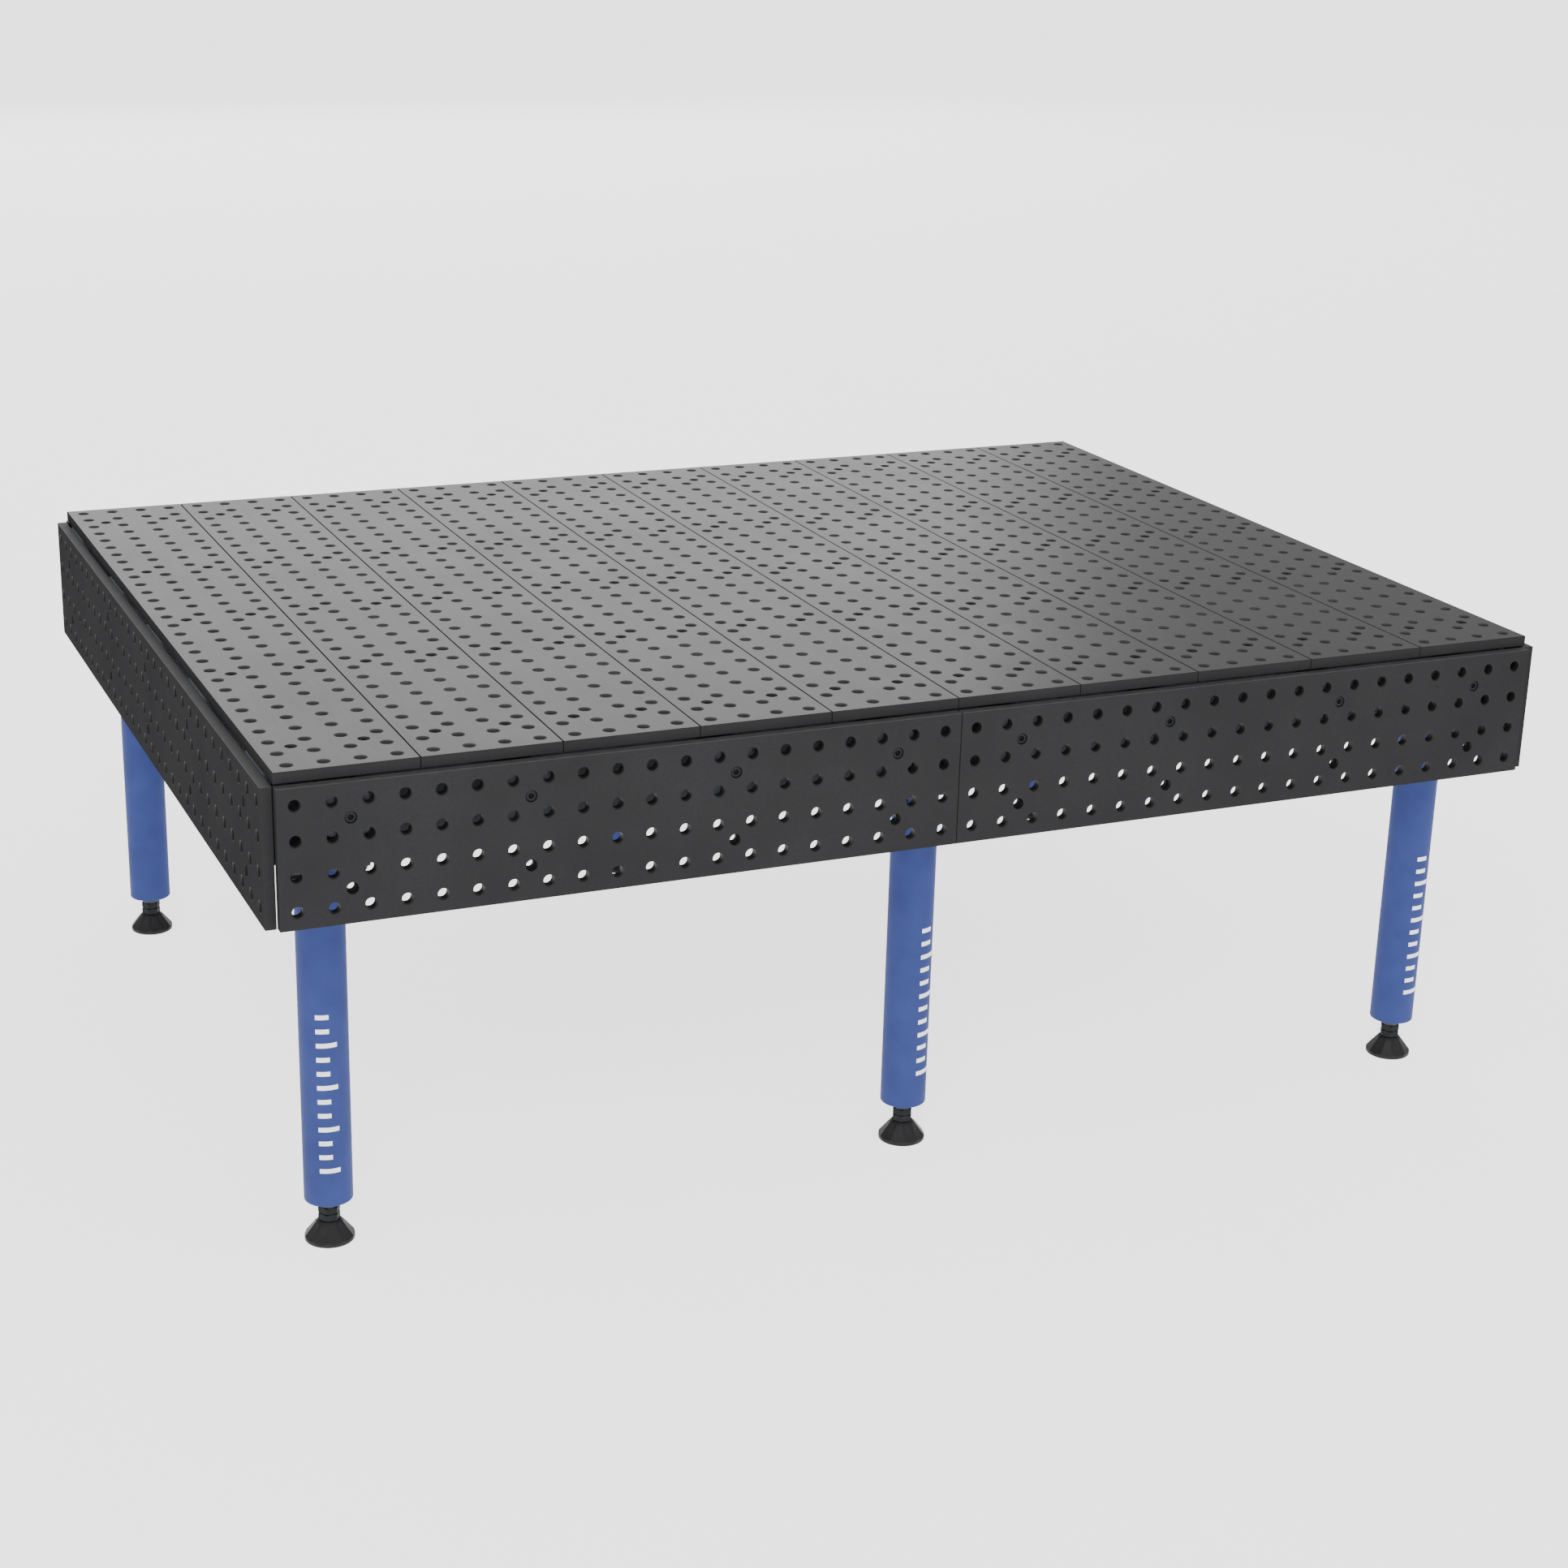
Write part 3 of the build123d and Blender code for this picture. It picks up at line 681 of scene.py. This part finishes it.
def perforated_plate(name, length_x, length_y, thickness, seats):
    """A plate with its outer face at height 0, and its seats counterbored for cap screws from that face."""
    foot = -thickness + BURR
    outer_steps = [(SEAT_R + BURR, 0), (SEAT_R, -BURR), (SEAT_R, -SEAT_DEPTH)]
    outer_steps += [(SCREW_HOLE_R, -SEAT_DEPTH), (SCREW_HOLE_R, foot)]
    inner_steps = [(SCREW_HOLE_R + BURR, 0), (SCREW_HOLE_R, -BURR)]
    outer = plate_side(length_x, length_y, thickness, seats, outer_steps)
    inner = plate_side(length_x, length_y, thickness, seats, inner_steps)
    bmesh.ops.scale(inner, vec=(1, 1, -1), verts=inner.verts)
    bmesh.ops.translate(inner, vec=(0, 0, -thickness), verts=inner.verts)
    whole = joined(outer, inner)
    bmesh.ops.remove_doubles(whole, verts=whole.verts, dist=PLATE_MERGE)
    bmesh.ops.recalc_face_normals(whole, faces=whole.faces)
    for face in whole.faces:
        middle = face.calc_center_median()
        if middle.y > length_y / 2 - PLATE_EDGE:
            face.material_index = UPPER_EDGE
        elif abs(middle.x) > length_x / 2 - PLATE_EDGE or middle.y < PLATE_EDGE - length_y / 2:
            face.material_index = OTHER_EDGES
        elif -thickness + TINY < middle.z < -TINY:
            face.material_index = BORES
    return mesh_of(whole, name)


def seat_places(across, along):
    """The net crossings of the counterbored holes, from distances in millimetres."""
    return {(round(x * MM / NET), round(y * MM / NET)) for x in across for y in along}


def stand_plate(pattern, node, matrix, finishes):
    """Puts a copy of a plate where a CAD node is."""
    mesh = pattern.copy()
    mesh.name = node
    mesh.transform(matrix)
    mount(mesh, f"{node}_plate", ROOT, finishes, [node])


def make_planks():
    """Ten planks from one pattern."""
    low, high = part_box(PLANKS[0])
    size = high - low
    seats = seat_places(PLANK_SEATS_ACROSS, PLANK_SEATS_ALONG)
    pattern = perforated_plate("plank_pattern", size.x, size.y, size.z, seats)
    finishes = (PLANK_STEEL, PLANK_BORE_AND_LEDGE_PAINTED_FILL, SKIRT_STEEL, SKIRT_STEEL)
    for node in PLANKS:
        low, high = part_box(node)
        place = Matrix.Translation(((low.x + high.x) / 2, (low.y + high.y) / 2, high.z))
        stand_plate(pattern, node, place, finishes)


def upright(middle, turn):
    """The place of a plate stood on its edge, with its outer face turned this far from the front about Z."""
    return Matrix.Translation(middle) @ Matrix.Rotation(turn, 4, "Z") @ Matrix.Rotation(math.pi / 2, 4, "X")


def make_skirts():
    """Four long panels at the front and the rear, and one at each side."""
    low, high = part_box("front_skirt_left")
    size = high - low
    seats = seat_places(PANEL_SEATS_ALONG, SKIRT_SEATS_ACROSS)
    # The upper edge, the ledge under the planks, takes the plank-bore grey, lighter than the skirt's own:
    # painted light that offsets the shade under the planks.
    finishes = (SKIRT_STEEL, SKIRT_BORE_PAINTED_FILL, PLANK_BORE_AND_LEDGE_PAINTED_FILL, SKIRT_STEEL)
    panel = perforated_plate("panel_pattern", size.x, size.z, size.y, seats)
    for row, turn in (("front", 0), ("rear", math.pi)):
        for side in ("left", "right"):
            node = f"{row}_skirt_{side}"
            low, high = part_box(node)
            middle = (low + high) / 2
            middle.y = low.y if row == "front" else high.y
            stand_plate(panel, node, upright(middle, turn), finishes)
    low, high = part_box("left_skirt")
    size = high - low
    seats = seat_places(PLANK_SEATS_ALONG, SKIRT_SEATS_ACROSS)
    end = perforated_plate("end_pattern", size.y, size.z, size.x, seats)
    for node, turn in (("left_skirt", -math.pi / 2), ("right_skirt", math.pi / 2)):
        low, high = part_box(node)
        middle = (low + high) / 2
        middle.x = low.x if turn < 0 else high.x
        stand_plate(end, node, upright(middle, turn), finishes)


# --- Screws -------------------------------------------------------------------------
def cap_screw():
    """A socket head cap screw. Its seat is at height 0 and its head above."""
    socket_r = CAP_SOCKET_AF / 2 / math.cos(math.pi / 6)
    floor = CAP_HEAD_H - CAP_SOCKET_DEPTH
    outline = [
        (0, -CAP_LENGTH), (CAP_SHANK_R - CAP_POINT, -CAP_LENGTH), (CAP_SHANK_R, -CAP_LENGTH + CAP_POINT),
        (CAP_SHANK_R, 0), (CAP_HEAD_R, 0), (CAP_HEAD_R, CAP_HEAD_H - CAP_HEAD_EDGE),
        (CAP_HEAD_R - CAP_HEAD_EDGE, CAP_HEAD_H), (socket_r, CAP_HEAD_H), (socket_r, floor),
        (0, floor - CAP_SOCKET_CONE),
    ]

    def flat(height):
        return CAP_SOCKET_AF / 2

    def in_socket(vert):
        return TINY < vert.co.xy.length < socket_r + TINY and vert.co.z > floor - TINY

    return mill(lathe(outline, SCREW_STEPS), 6, flat, in_socket)


def make_cap_screws():
    """The cap screws of the planks and of the skirts, at the seats of the CAD screws."""
    seat_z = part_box(PLANKS[0])[1].z - SEAT_DEPTH
    middles = [(low.x + high.x) / 2 for low, high in map(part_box, PLANKS)]
    spots = [
        Matrix.Translation((middle + across * MM, along * MM, seat_z))
        for middle in middles for across in PLANK_SEATS_ACROSS for along in PLANK_SEATS_ALONG
    ]
    mesh = mesh_of(copies(cap_screw(), spots), "plank_cap_screws")
    mount(mesh, "plank_cap_screws", ROOT, SCREW_STEEL, ["plank_screws"])

    spots = []
    for row, sign in (("front", -1), ("rear", 1)):
        for side in ("left", "right"):
            low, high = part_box(f"{row}_skirt_{side}")
            seat_y = low.y + SEAT_DEPTH if sign < 0 else high.y - SEAT_DEPTH
            for along in PANEL_SEATS_ALONG:
                spot = ((low.x + high.x) / 2 + along * MM, seat_y, (low.z + high.z) / 2 + HOLE_PITCH)
                spots.append(Matrix.Translation(spot) @ Matrix.Rotation(-sign * math.pi / 2, 4, "X"))
    for node, sign in (("left_skirt", -1), ("right_skirt", 1)):
        low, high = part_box(node)
        seat_x = low.x + SEAT_DEPTH if sign < 0 else high.x - SEAT_DEPTH
        for along in PLANK_SEATS_ALONG:
            spot = (seat_x, along * MM, (low.z + high.z) / 2 + HOLE_PITCH)
            spots.append(Matrix.Translation(spot) @ Matrix.Rotation(sign * math.pi / 2, 4, "Y"))
    mesh = mesh_of(copies(cap_screw(), spots), "skirt_cap_screws")
    mount(mesh, "skirt_cap_screws", ROOT, SCREW_STEEL, ["skirt_screws"])


def hex_blank(across_flats, bottom, top, bore=0.0, chamfer=HEX_CHAMFER):
    """A turned blank, coned at both ends and milled to a hexagon: a nut, or without a bore a bolt head."""
    corner_r = across_flats / 2 / math.cos(math.pi / 6)
    face_r = across_flats / 2 * HEX_FACE
    cone = [
        (face_r + (corner_r - face_r) * k / HEX_CONE_RINGS, chamfer * (k / HEX_CONE_RINGS) * HEX_CONE_SLOPE)
        for k in range(HEX_CONE_RINGS + 1)
    ]
    outline = [(bore, bottom)] + [(r, bottom + h) for r, h in cone]
    outline += [(r, top - h) for r, h in reversed(cone)] + [(bore, top)]

    def flat(height):
        return across_flats / 2

    def outside(vert):
        return vert.co.xy.length > bore + TINY

    return mill(lathe(outline, HEX_STEPS, closed=bore > 0), 6, flat, outside)


def make_collar_bolts():
    """Hexagon bolts that hold the leg collars, heads down."""
    low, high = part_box("collar_bolts")
    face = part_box("leg_collar_front_left")[0].z
    head = hex_blank(BOLT_AF, low.z, face, chamfer=BOLT_CHAMFER)
    root = face - BOLT_ROOT
    shank = lathe([(0, root), (BOLT_R, root), (BOLT_R, high.z), (0, high.z)], SCREW_STEPS)
    spots = []
    for place in LEG_PLACES:
        middle = centre_of(f"leg_{place}")
        for x in (-BOLT_OFFSET, BOLT_OFFSET):
            for y in (-BOLT_OFFSET, BOLT_OFFSET):
                spots.append(Matrix.Translation((middle.x + x, middle.y + y, 0)))
    mesh = mesh_of(copies(joined(head, shank), spots), "collar_bolts_hex")
    mount(mesh, "collar_bolts_hex", ROOT, SCREW_STEEL, ["collar_bolts"])


# --- Legs and feet --------------------------------------------------------------------
def at_each_leg(pattern, place, name, body, finish, node):
    """Puts a copy of mesh data made on the Z axis on the axis of a leg."""
    middle = centre_of(f"leg_{place}")
    mesh = pattern.copy()
    mesh.name = name
    mesh.transform(Matrix.Translation((middle.x, middle.y, 0)))
    mount(mesh, name, body, finish, [node])


def make_legs():
    """Steel tubes with a rolled lower lip."""
    low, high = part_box("leg_front_left")
    outer = (high.x - low.x) / 2
    inner = outer - TUBE_WALL
    bm = lathe([(inner, low.z), (outer, low.z), (outer, high.z), (inner, high.z)], TUBE_STEPS, closed=True)

    def at_lower_end(edge):
        return edge.verts[0].co.z < low.z + TINY

    ease(bm, TUBE_LIP, segments=4, only=at_lower_end)
    pattern = mesh_of(bm, "leg_pattern")
    for place in LEG_PLACES:
        at_each_leg(pattern, place, f"leg_{place}_tube", ROOT, LEG_PAINT, f"leg_{place}")


def make_height_marks(place, facing):
    """A plain stencilled scale of long and short bars, on a leg's side that faces this angle from -Y."""
    middle = centre_of(f"leg_{place}")
    low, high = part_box(f"leg_{place}")
    surface = (high.x - low.x) / 2
    bars = []
    for index in range(MARK_COUNT):
        is_long = index % MARKS_PER_LONG == 0
        width = MARK_LONG if is_long else MARK_SHORT
        bar = bmesh.new()
        bmesh.ops.create_grid(bar, x_segments=MARK_BENDS, y_segments=1, size=0.5)
        bmesh.ops.scale(bar, vec=(width, MARK_HEIGHT, 1), verts=bar.verts)
        skin = bmesh.ops.extrude_face_region(bar, geom=bar.faces[:])["geom"]
        raised = [item for item in skin if isinstance(item, bmesh.types.BMVert)]
        bmesh.ops.translate(bar, vec=(0, 0, MARK_FILM), verts=raised)
        left = 0 if is_long else (MARK_SHORT - MARK_LONG) / 2
        for vert in bar.verts:
            angle = math.radians(facing) + (vert.co.x + left) / surface
            radius = surface - MARK_FILM / 2 + vert.co.z
            level = MARK_BOTTOM + index * MARK_STEP + vert.co.y
            vert.co = (middle.x + radius * math.sin(angle), middle.y - radius * math.cos(angle), level)
        bars.append(bar)
    bm = joined(*bars)
    bmesh.ops.recalc_face_normals(bm, faces=bm.faces)
    mount(mesh_of(bm, f"height_marks_{place}"), f"height_marks_{place}", ROOT, MARK_ENAMEL)


def make_bushes():
    """Threaded bushes pressed into the lower ends of the legs: a wide part in the tube, and narrow ends."""
    low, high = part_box("leg_bushes")
    tube_low, tube_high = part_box("leg_front_left")
    wide_r = (tube_high.x - tube_low.x) / 2 - TUBE_WALL
    wide_low = tube_low.z + BUSH_STEP
    wide_high = high.z - BUSH_STEP
    outline = [
        (THREAD_R, low.z), (BUSH_R, low.z), (BUSH_R, wide_low), (wide_r, wide_low),
        (wide_r, wide_high), (BUSH_R, wide_high), (BUSH_R, high.z), (THREAD_R, high.z),
    ]
    bm = ease(lathe(outline, BUSH_STEPS, closed=True), BUSH_EDGE)
    mesh = mesh_of(copies(bm, leg_axes()), "leg_bushes_turned")
    mount(mesh, "leg_bushes_turned", ROOT, CAST_IRON, ["leg_bushes"])


def make_lock_nuts():
    """The nuts that lock the spindles under the legs."""
    low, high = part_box("lock_nuts")
    bm = copies(hex_blank(HEX_AF, low.z, high.z, bore=THREAD_R + NUT_FIT), leg_axes())
    mount(mesh_of(bm, "lock_nuts_hex"), "lock_nuts_hex", ROOT, SCREW_STEEL, ["lock_nuts"])


def threaded_rod(bottom, top):
    """A rod with a rolled metric thread, from one pitch of it wound up in a helix, with both ends closed."""
    bm = bmesh.new()
    turns = int((top - bottom) / THREAD_PITCH) - 1
    crest_low, crest_high = THREAD_CREST
    flank = [(THREAD_CORE_R, 0), (THREAD_R, crest_low), (THREAD_R, crest_high), (THREAD_CORE_R, 1)]
    points = [bm.verts.new((r, 0, bottom + (k + THREAD_LEAD) * THREAD_PITCH)) for r, k in flank]
    lines = [bm.edges.new(pair) for pair in zip(points, points[1:])]
    bmesh.ops.spin(
        bm, geom=points + lines, cent=(0, 0, 0), axis=(0, 0, 1), dvec=(0, 0, THREAD_PITCH / THREAD_STEPS),
        angle=math.tau * turns, steps=THREAD_STEPS * turns, use_merge=False, use_duplicate=False,
    )
    bmesh.ops.remove_doubles(bm, verts=bm.verts, dist=THREAD_MERGE)
    middle = (bottom + top) / 2
    for level in (bottom, top):
        rim = [
            edge for edge in bm.edges
            if edge.is_boundary and (edge.verts[0].co.z < middle) == (level < middle)
        ]
        rim = open_edges(bmesh.ops.extrude_edge_only(bm, edges=rim)["geom"])
        for vert in {vert for edge in rim for vert in edge.verts}:
            vert.co.xy = vert.co.xy.normalized() * (THREAD_CORE_R - THREAD_END)
            vert.co.z = level
    bmesh.ops.remove_doubles(bm, verts=bm.verts, dist=THREAD_MERGE)
    bmesh.ops.holes_fill(bm, edges=[edge for edge in bm.edges if edge.is_boundary], sides=0)
    bmesh.ops.recalc_face_normals(bm, faces=bm.faces)
    return bm


def make_spindles():
    """Threaded spindles with a spanner hexagon, and a plain journal that turns in the pad."""
    low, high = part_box("spindle_front_left")
    hex_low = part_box("pad_front_left")[1].z + PAD_GAP
    hex_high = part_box("lock_nuts")[0].z - NUT_GAP
    outline = [
        (0, low.z), (JOURNAL_R - JOURNAL_CHAMFER, low.z), (JOURNAL_R, low.z + JOURNAL_CHAMFER),
        (JOURNAL_R, hex_low), (0, hex_low),
    ]
    journal = lathe(outline, JOURNAL_STEPS)
    bm = joined(journal, hex_blank(HEX_AF, hex_low, hex_high), threaded_rod(hex_high, high.z))
    pattern = mesh_of(bm, "spindle_pattern")
    for place in LEG_PLACES:
        name = f"spindle_{place}_threaded"
        at_each_leg(pattern, place, name, f"screw_{place}", SCREW_STEEL, f"spindle_{place}")


def make_pads():
    """Moulded pads: a round rim, ten sloping facets above it, and a smooth neck that holds the journal."""
    low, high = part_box("pad_front_left")
    rim_r = (high.x - low.x) / 2
    bore = JOURNAL_R + JOURNAL_FIT
    rim = [PAD_RIM_H + k * PAD_RIM_RING_H for k in range(PAD_RIM_RINGS)]
    outline = [(0, 0), (rim_r - PAD_RIM_EDGE, 0), (rim_r, PAD_RIM_EDGE)]
    outline += [(rim_r, height) for height in rim]
    outline += [(FACET_TOP_R / math.cos(math.pi / PAD_FACETS), FACET_TOP_H)]
    outline += [(FACET_TOP_R, FACET_TOP_H + FACET_LEDGE), (PAD_TOP_R, high.z - PAD_TOP_EDGE)]
    outline += [(PAD_TOP_R - PAD_TOP_EDGE, high.z), (bore, high.z), (bore, PAD_FLOOR), (0, PAD_FLOOR)]

    def facet(height):
        share = (height - PAD_RIM_H) / (FACET_TOP_H - PAD_RIM_H)
        return rim_r + (FACET_TOP_R - rim_r) * min(max(share, 0), 1)

    def on_facets(vert):
        in_height = PAD_RIM_H - TINY < vert.co.z < FACET_TOP_H + TINY
        return in_height and vert.co.xy.length > bore + TINY

    pattern = mesh_of(mill(lathe(outline, PAD_STEPS), PAD_FACETS, facet, on_facets), "pad_pattern")
    for place in LEG_PLACES:
        name = f"pad_{place}_moulded"
        at_each_leg(pattern, place, name, f"foot_{place}", FOOT_NYLON, f"pad_{place}")


# --- Frame ---------------------------------------------------------------------------
def weld_bead(length, radius):
    """A rippled round bead along X."""
    ripples = max(3, round(length / WELD_RIPPLE))
    outline = []
    for k in range(2 * ripples + 1):
        swell = radius * (1.0 if k % 2 else WELD_VALLEY)
        outline.append((0 if k in (0, 2 * ripples) else swell, length * (k / (2 * ripples) - 0.5)))
    bm = lathe(outline, WELD_STEPS)
    bmesh.ops.rotate(bm, matrix=Matrix.Rotation(math.pi / 2, 3, "Y"), verts=bm.verts)
    return bm


def make_welds():
    """Beads where the cross beams meet the rails: one across, just over the underside, and two upright."""
    rails = [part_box(rail) for rail in RAILS]
    side_beads, under_beads = [], []
    on_end = Matrix.Rotation(math.pi / 2, 4, "Y")
    for beam in BEAMS:
        low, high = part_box(beam)
        for index, (rail_low, rail_high) in enumerate(rails):
            faces = ([rail_low.y] if index else []) + ([rail_high.y] if index < len(rails) - 1 else [])
            for y in faces:
                under_beads.append(Matrix.Translation(((low.x + high.x) / 2, y, low.z + WELD_R * WELD_RISE)))
                for x in (low.x, high.x):
                    side_beads.append(Matrix.Translation((x, y, (low.z + high.z) / 2)) @ on_end)
    low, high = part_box(BEAMS[0])
    width = (high.x - low.x) - UNDER_WELD_TRIM
    height = (high.z - low.z) - SIDE_WELD_TRIM
    bm = joined(copies(weld_bead(width, WELD_R), under_beads), copies(weld_bead(height, WELD_R), side_beads))
    mount(mesh_of(bm, "frame_welds"), "frame_welds", ROOT, WELD_STEEL)


def make_collars():
    """Cast collars that clamp the legs, with eased outer edges."""
    low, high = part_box("leg_collar_front_left")
    leg_low, leg_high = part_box("leg_front_left")
    bore = (leg_high.x - leg_low.x) / 2 + COLLAR_FIT
    half = (high.x - low.x) / 2
    blank = [(bore, low.z), (half * 2, low.z), (half * 2, high.z), (bore, high.z)]
    bm = lathe(blank, TUBE_STEPS, closed=True)
    square_off(bm, half, COLLAR_CORNER, bore)

    def outside(edge):
        return edge.verts[0].co.xy.length > bore + COLLAR_BORE_RIM

    ease(bm, COLLAR_EDGE, only=outside)
    pattern = mesh_of(bm, "collar_pattern")
    for place in LEG_PLACES:
        name = f"leg_collar_{place}_cast"
        at_each_leg(pattern, place, name, ROOT, CAST_IRON, f"leg_collar_{place}")


def square_off(bm, half, corner, bore):
    """Moves a turned blank's outside in onto a square with rounded corners."""
    for vert in bm.verts:
        radius = vert.co.xy.length
        if radius < bore + TINY:
            continue
        heading = vert.co.xy.normalized()
        reach = half / max(abs(heading.x), abs(heading.y))
        point = heading * reach
        inside = half - corner
        if abs(point.x) > inside and abs(point.y) > inside:
            hub = Vector((math.copysign(inside, point.x), math.copysign(inside, point.y)))
            along = heading.dot(hub)
            reach = along + math.sqrt(max(along ** 2 - hub.length_squared + corner ** 2, 0))
        vert.co.x, vert.co.y = heading.x * reach, heading.y * reach


def paint_kept_nodes():
    """The CAD nodes that are shown as they are get their finishes."""
    for node in ["rail_end_plates", "skirt_standoffs", "leg_mount_plates", "clamp_screws"] + RAILS + BEAMS:
        finish = SCREW_STEEL if node == "clamp_screws" else FRAME_PRIMER_PAINTED_FILL
        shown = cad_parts[node]
        shown.data.materials.clear()
        shown.data.materials.append(finish)


# --- Stage ---------------------------------------------------------------------------
def make_floor():
    """A wide, plain pale floor."""
    bm = bmesh.new()
    bmesh.ops.create_grid(bm, x_segments=FLOOR_FACES, y_segments=FLOOR_FACES, size=FLOOR_HALF)
    mesh = bpy.data.meshes.new("studio_floor")
    bm.to_mesh(mesh)
    bm.free()
    floor = bpy.data.objects.new("studio_floor", mesh)
    mesh.materials.append(backlit_opal_acrylic())
    mesh.transform(Matrix.Translation((0, 0, cad_box[0].z)))
    bpy.context.scene.collection.objects.link(floor)


def make_light(name, place, aim, size, power):
    """A soft box: a rectangular lamp at a place, turned to a point."""
    lamp = bpy.data.lights.new(name, "AREA")
    lamp.shape = "RECTANGLE"
    lamp.size, lamp.size_y = size
    lamp.energy = power
    holder = bpy.data.objects.new(name, lamp)
    holder.location = place
    holder.visible_camera = False
    holder.rotation_euler = (Vector(aim) - Vector(place)).to_track_quat("-Z", "Y").to_euler()
    bpy.context.scene.collection.objects.link(holder)
    return holder


def make_studio():
    """A pale room, brighter in front, with a large soft box behind for the top's sheen and a small front one.

    Near the horizon the room takes on the floor's glow, so that the floor's far edge hardly shows.
    """
    world = bpy.data.worlds.new("white_room")
    world.use_nodes = True
    tree = world.node_tree
    tree.nodes.clear()
    heading = add(tree, "ShaderNodeTexCoord", {}).outputs["Generated"]
    parts = add(tree, "ShaderNodeSeparateXYZ", {"Vector": heading}).outputs
    wall = add(tree, "ShaderNodeMapRange", {
        "Value": parts["Y"], "From Min": WALL_FADE[0], "From Max": WALL_FADE[1],
        "To Min": FRONT_WALL_LIGHT, "To Max": BACK_WALL_LIGHT,
    })
    strength = add(tree, "ShaderNodeMapRange", {
        "Value": parts["Z"], "From Min": 0.0, "From Max": math.sin(math.radians(SWEEP_TOP)),
        "To Min": FLOOR_GLOW, "To Max": wall,
    })
    background = add(tree, "ShaderNodeBackground", {"Color": (1, 1, 1, 1), "Strength": strength})
    add(tree, "ShaderNodeOutputWorld", {"Surface": background})
    bpy.context.scene.world = world

    turn = math.radians(BACK_BOX_EDGE) - math.atan(BACK_BOX_SIZE[0] / 2 / BACK_BOX_DISTANCE)
    place = (BACK_BOX_DISTANCE * math.sin(turn), BACK_BOX_DISTANCE * math.cos(turn), BACK_BOX_HEIGHT)
    make_light("back_soft_box", place, (0, 0, cad_box[1].z), BACK_BOX_SIZE, BACK_BOX_POWER)
    make_light("front_soft_box", FRONT_BOX_PLACE, (0, 0, 0), FRONT_BOX_SIZE, FRONT_BOX_POWER)


def make_camera():
    """A short telephoto from the front left, a little above the table."""
    lens = bpy.data.cameras.new("camera")
    lens.sensor_width = SENSOR
    lens.lens = LENS
    camera = bpy.data.objects.new("camera", lens)
    camera.location = CAMERA_PLACE
    camera.rotation_euler = [math.radians(angle) for angle in CAMERA_TURN]
    bpy.context.scene.collection.objects.link(camera)
    bpy.context.scene.camera = camera


make_camera()
make_planks()
make_skirts()
make_cap_screws()
make_collar_bolts()
make_collars()
make_bushes()
make_lock_nuts()
make_legs()
make_spindles()
make_pads()
for leg_place, facing in MARK_FACINGS.items():
    make_height_marks(leg_place, facing)
make_welds()
paint_kept_nodes()
make_floor()
make_studio()
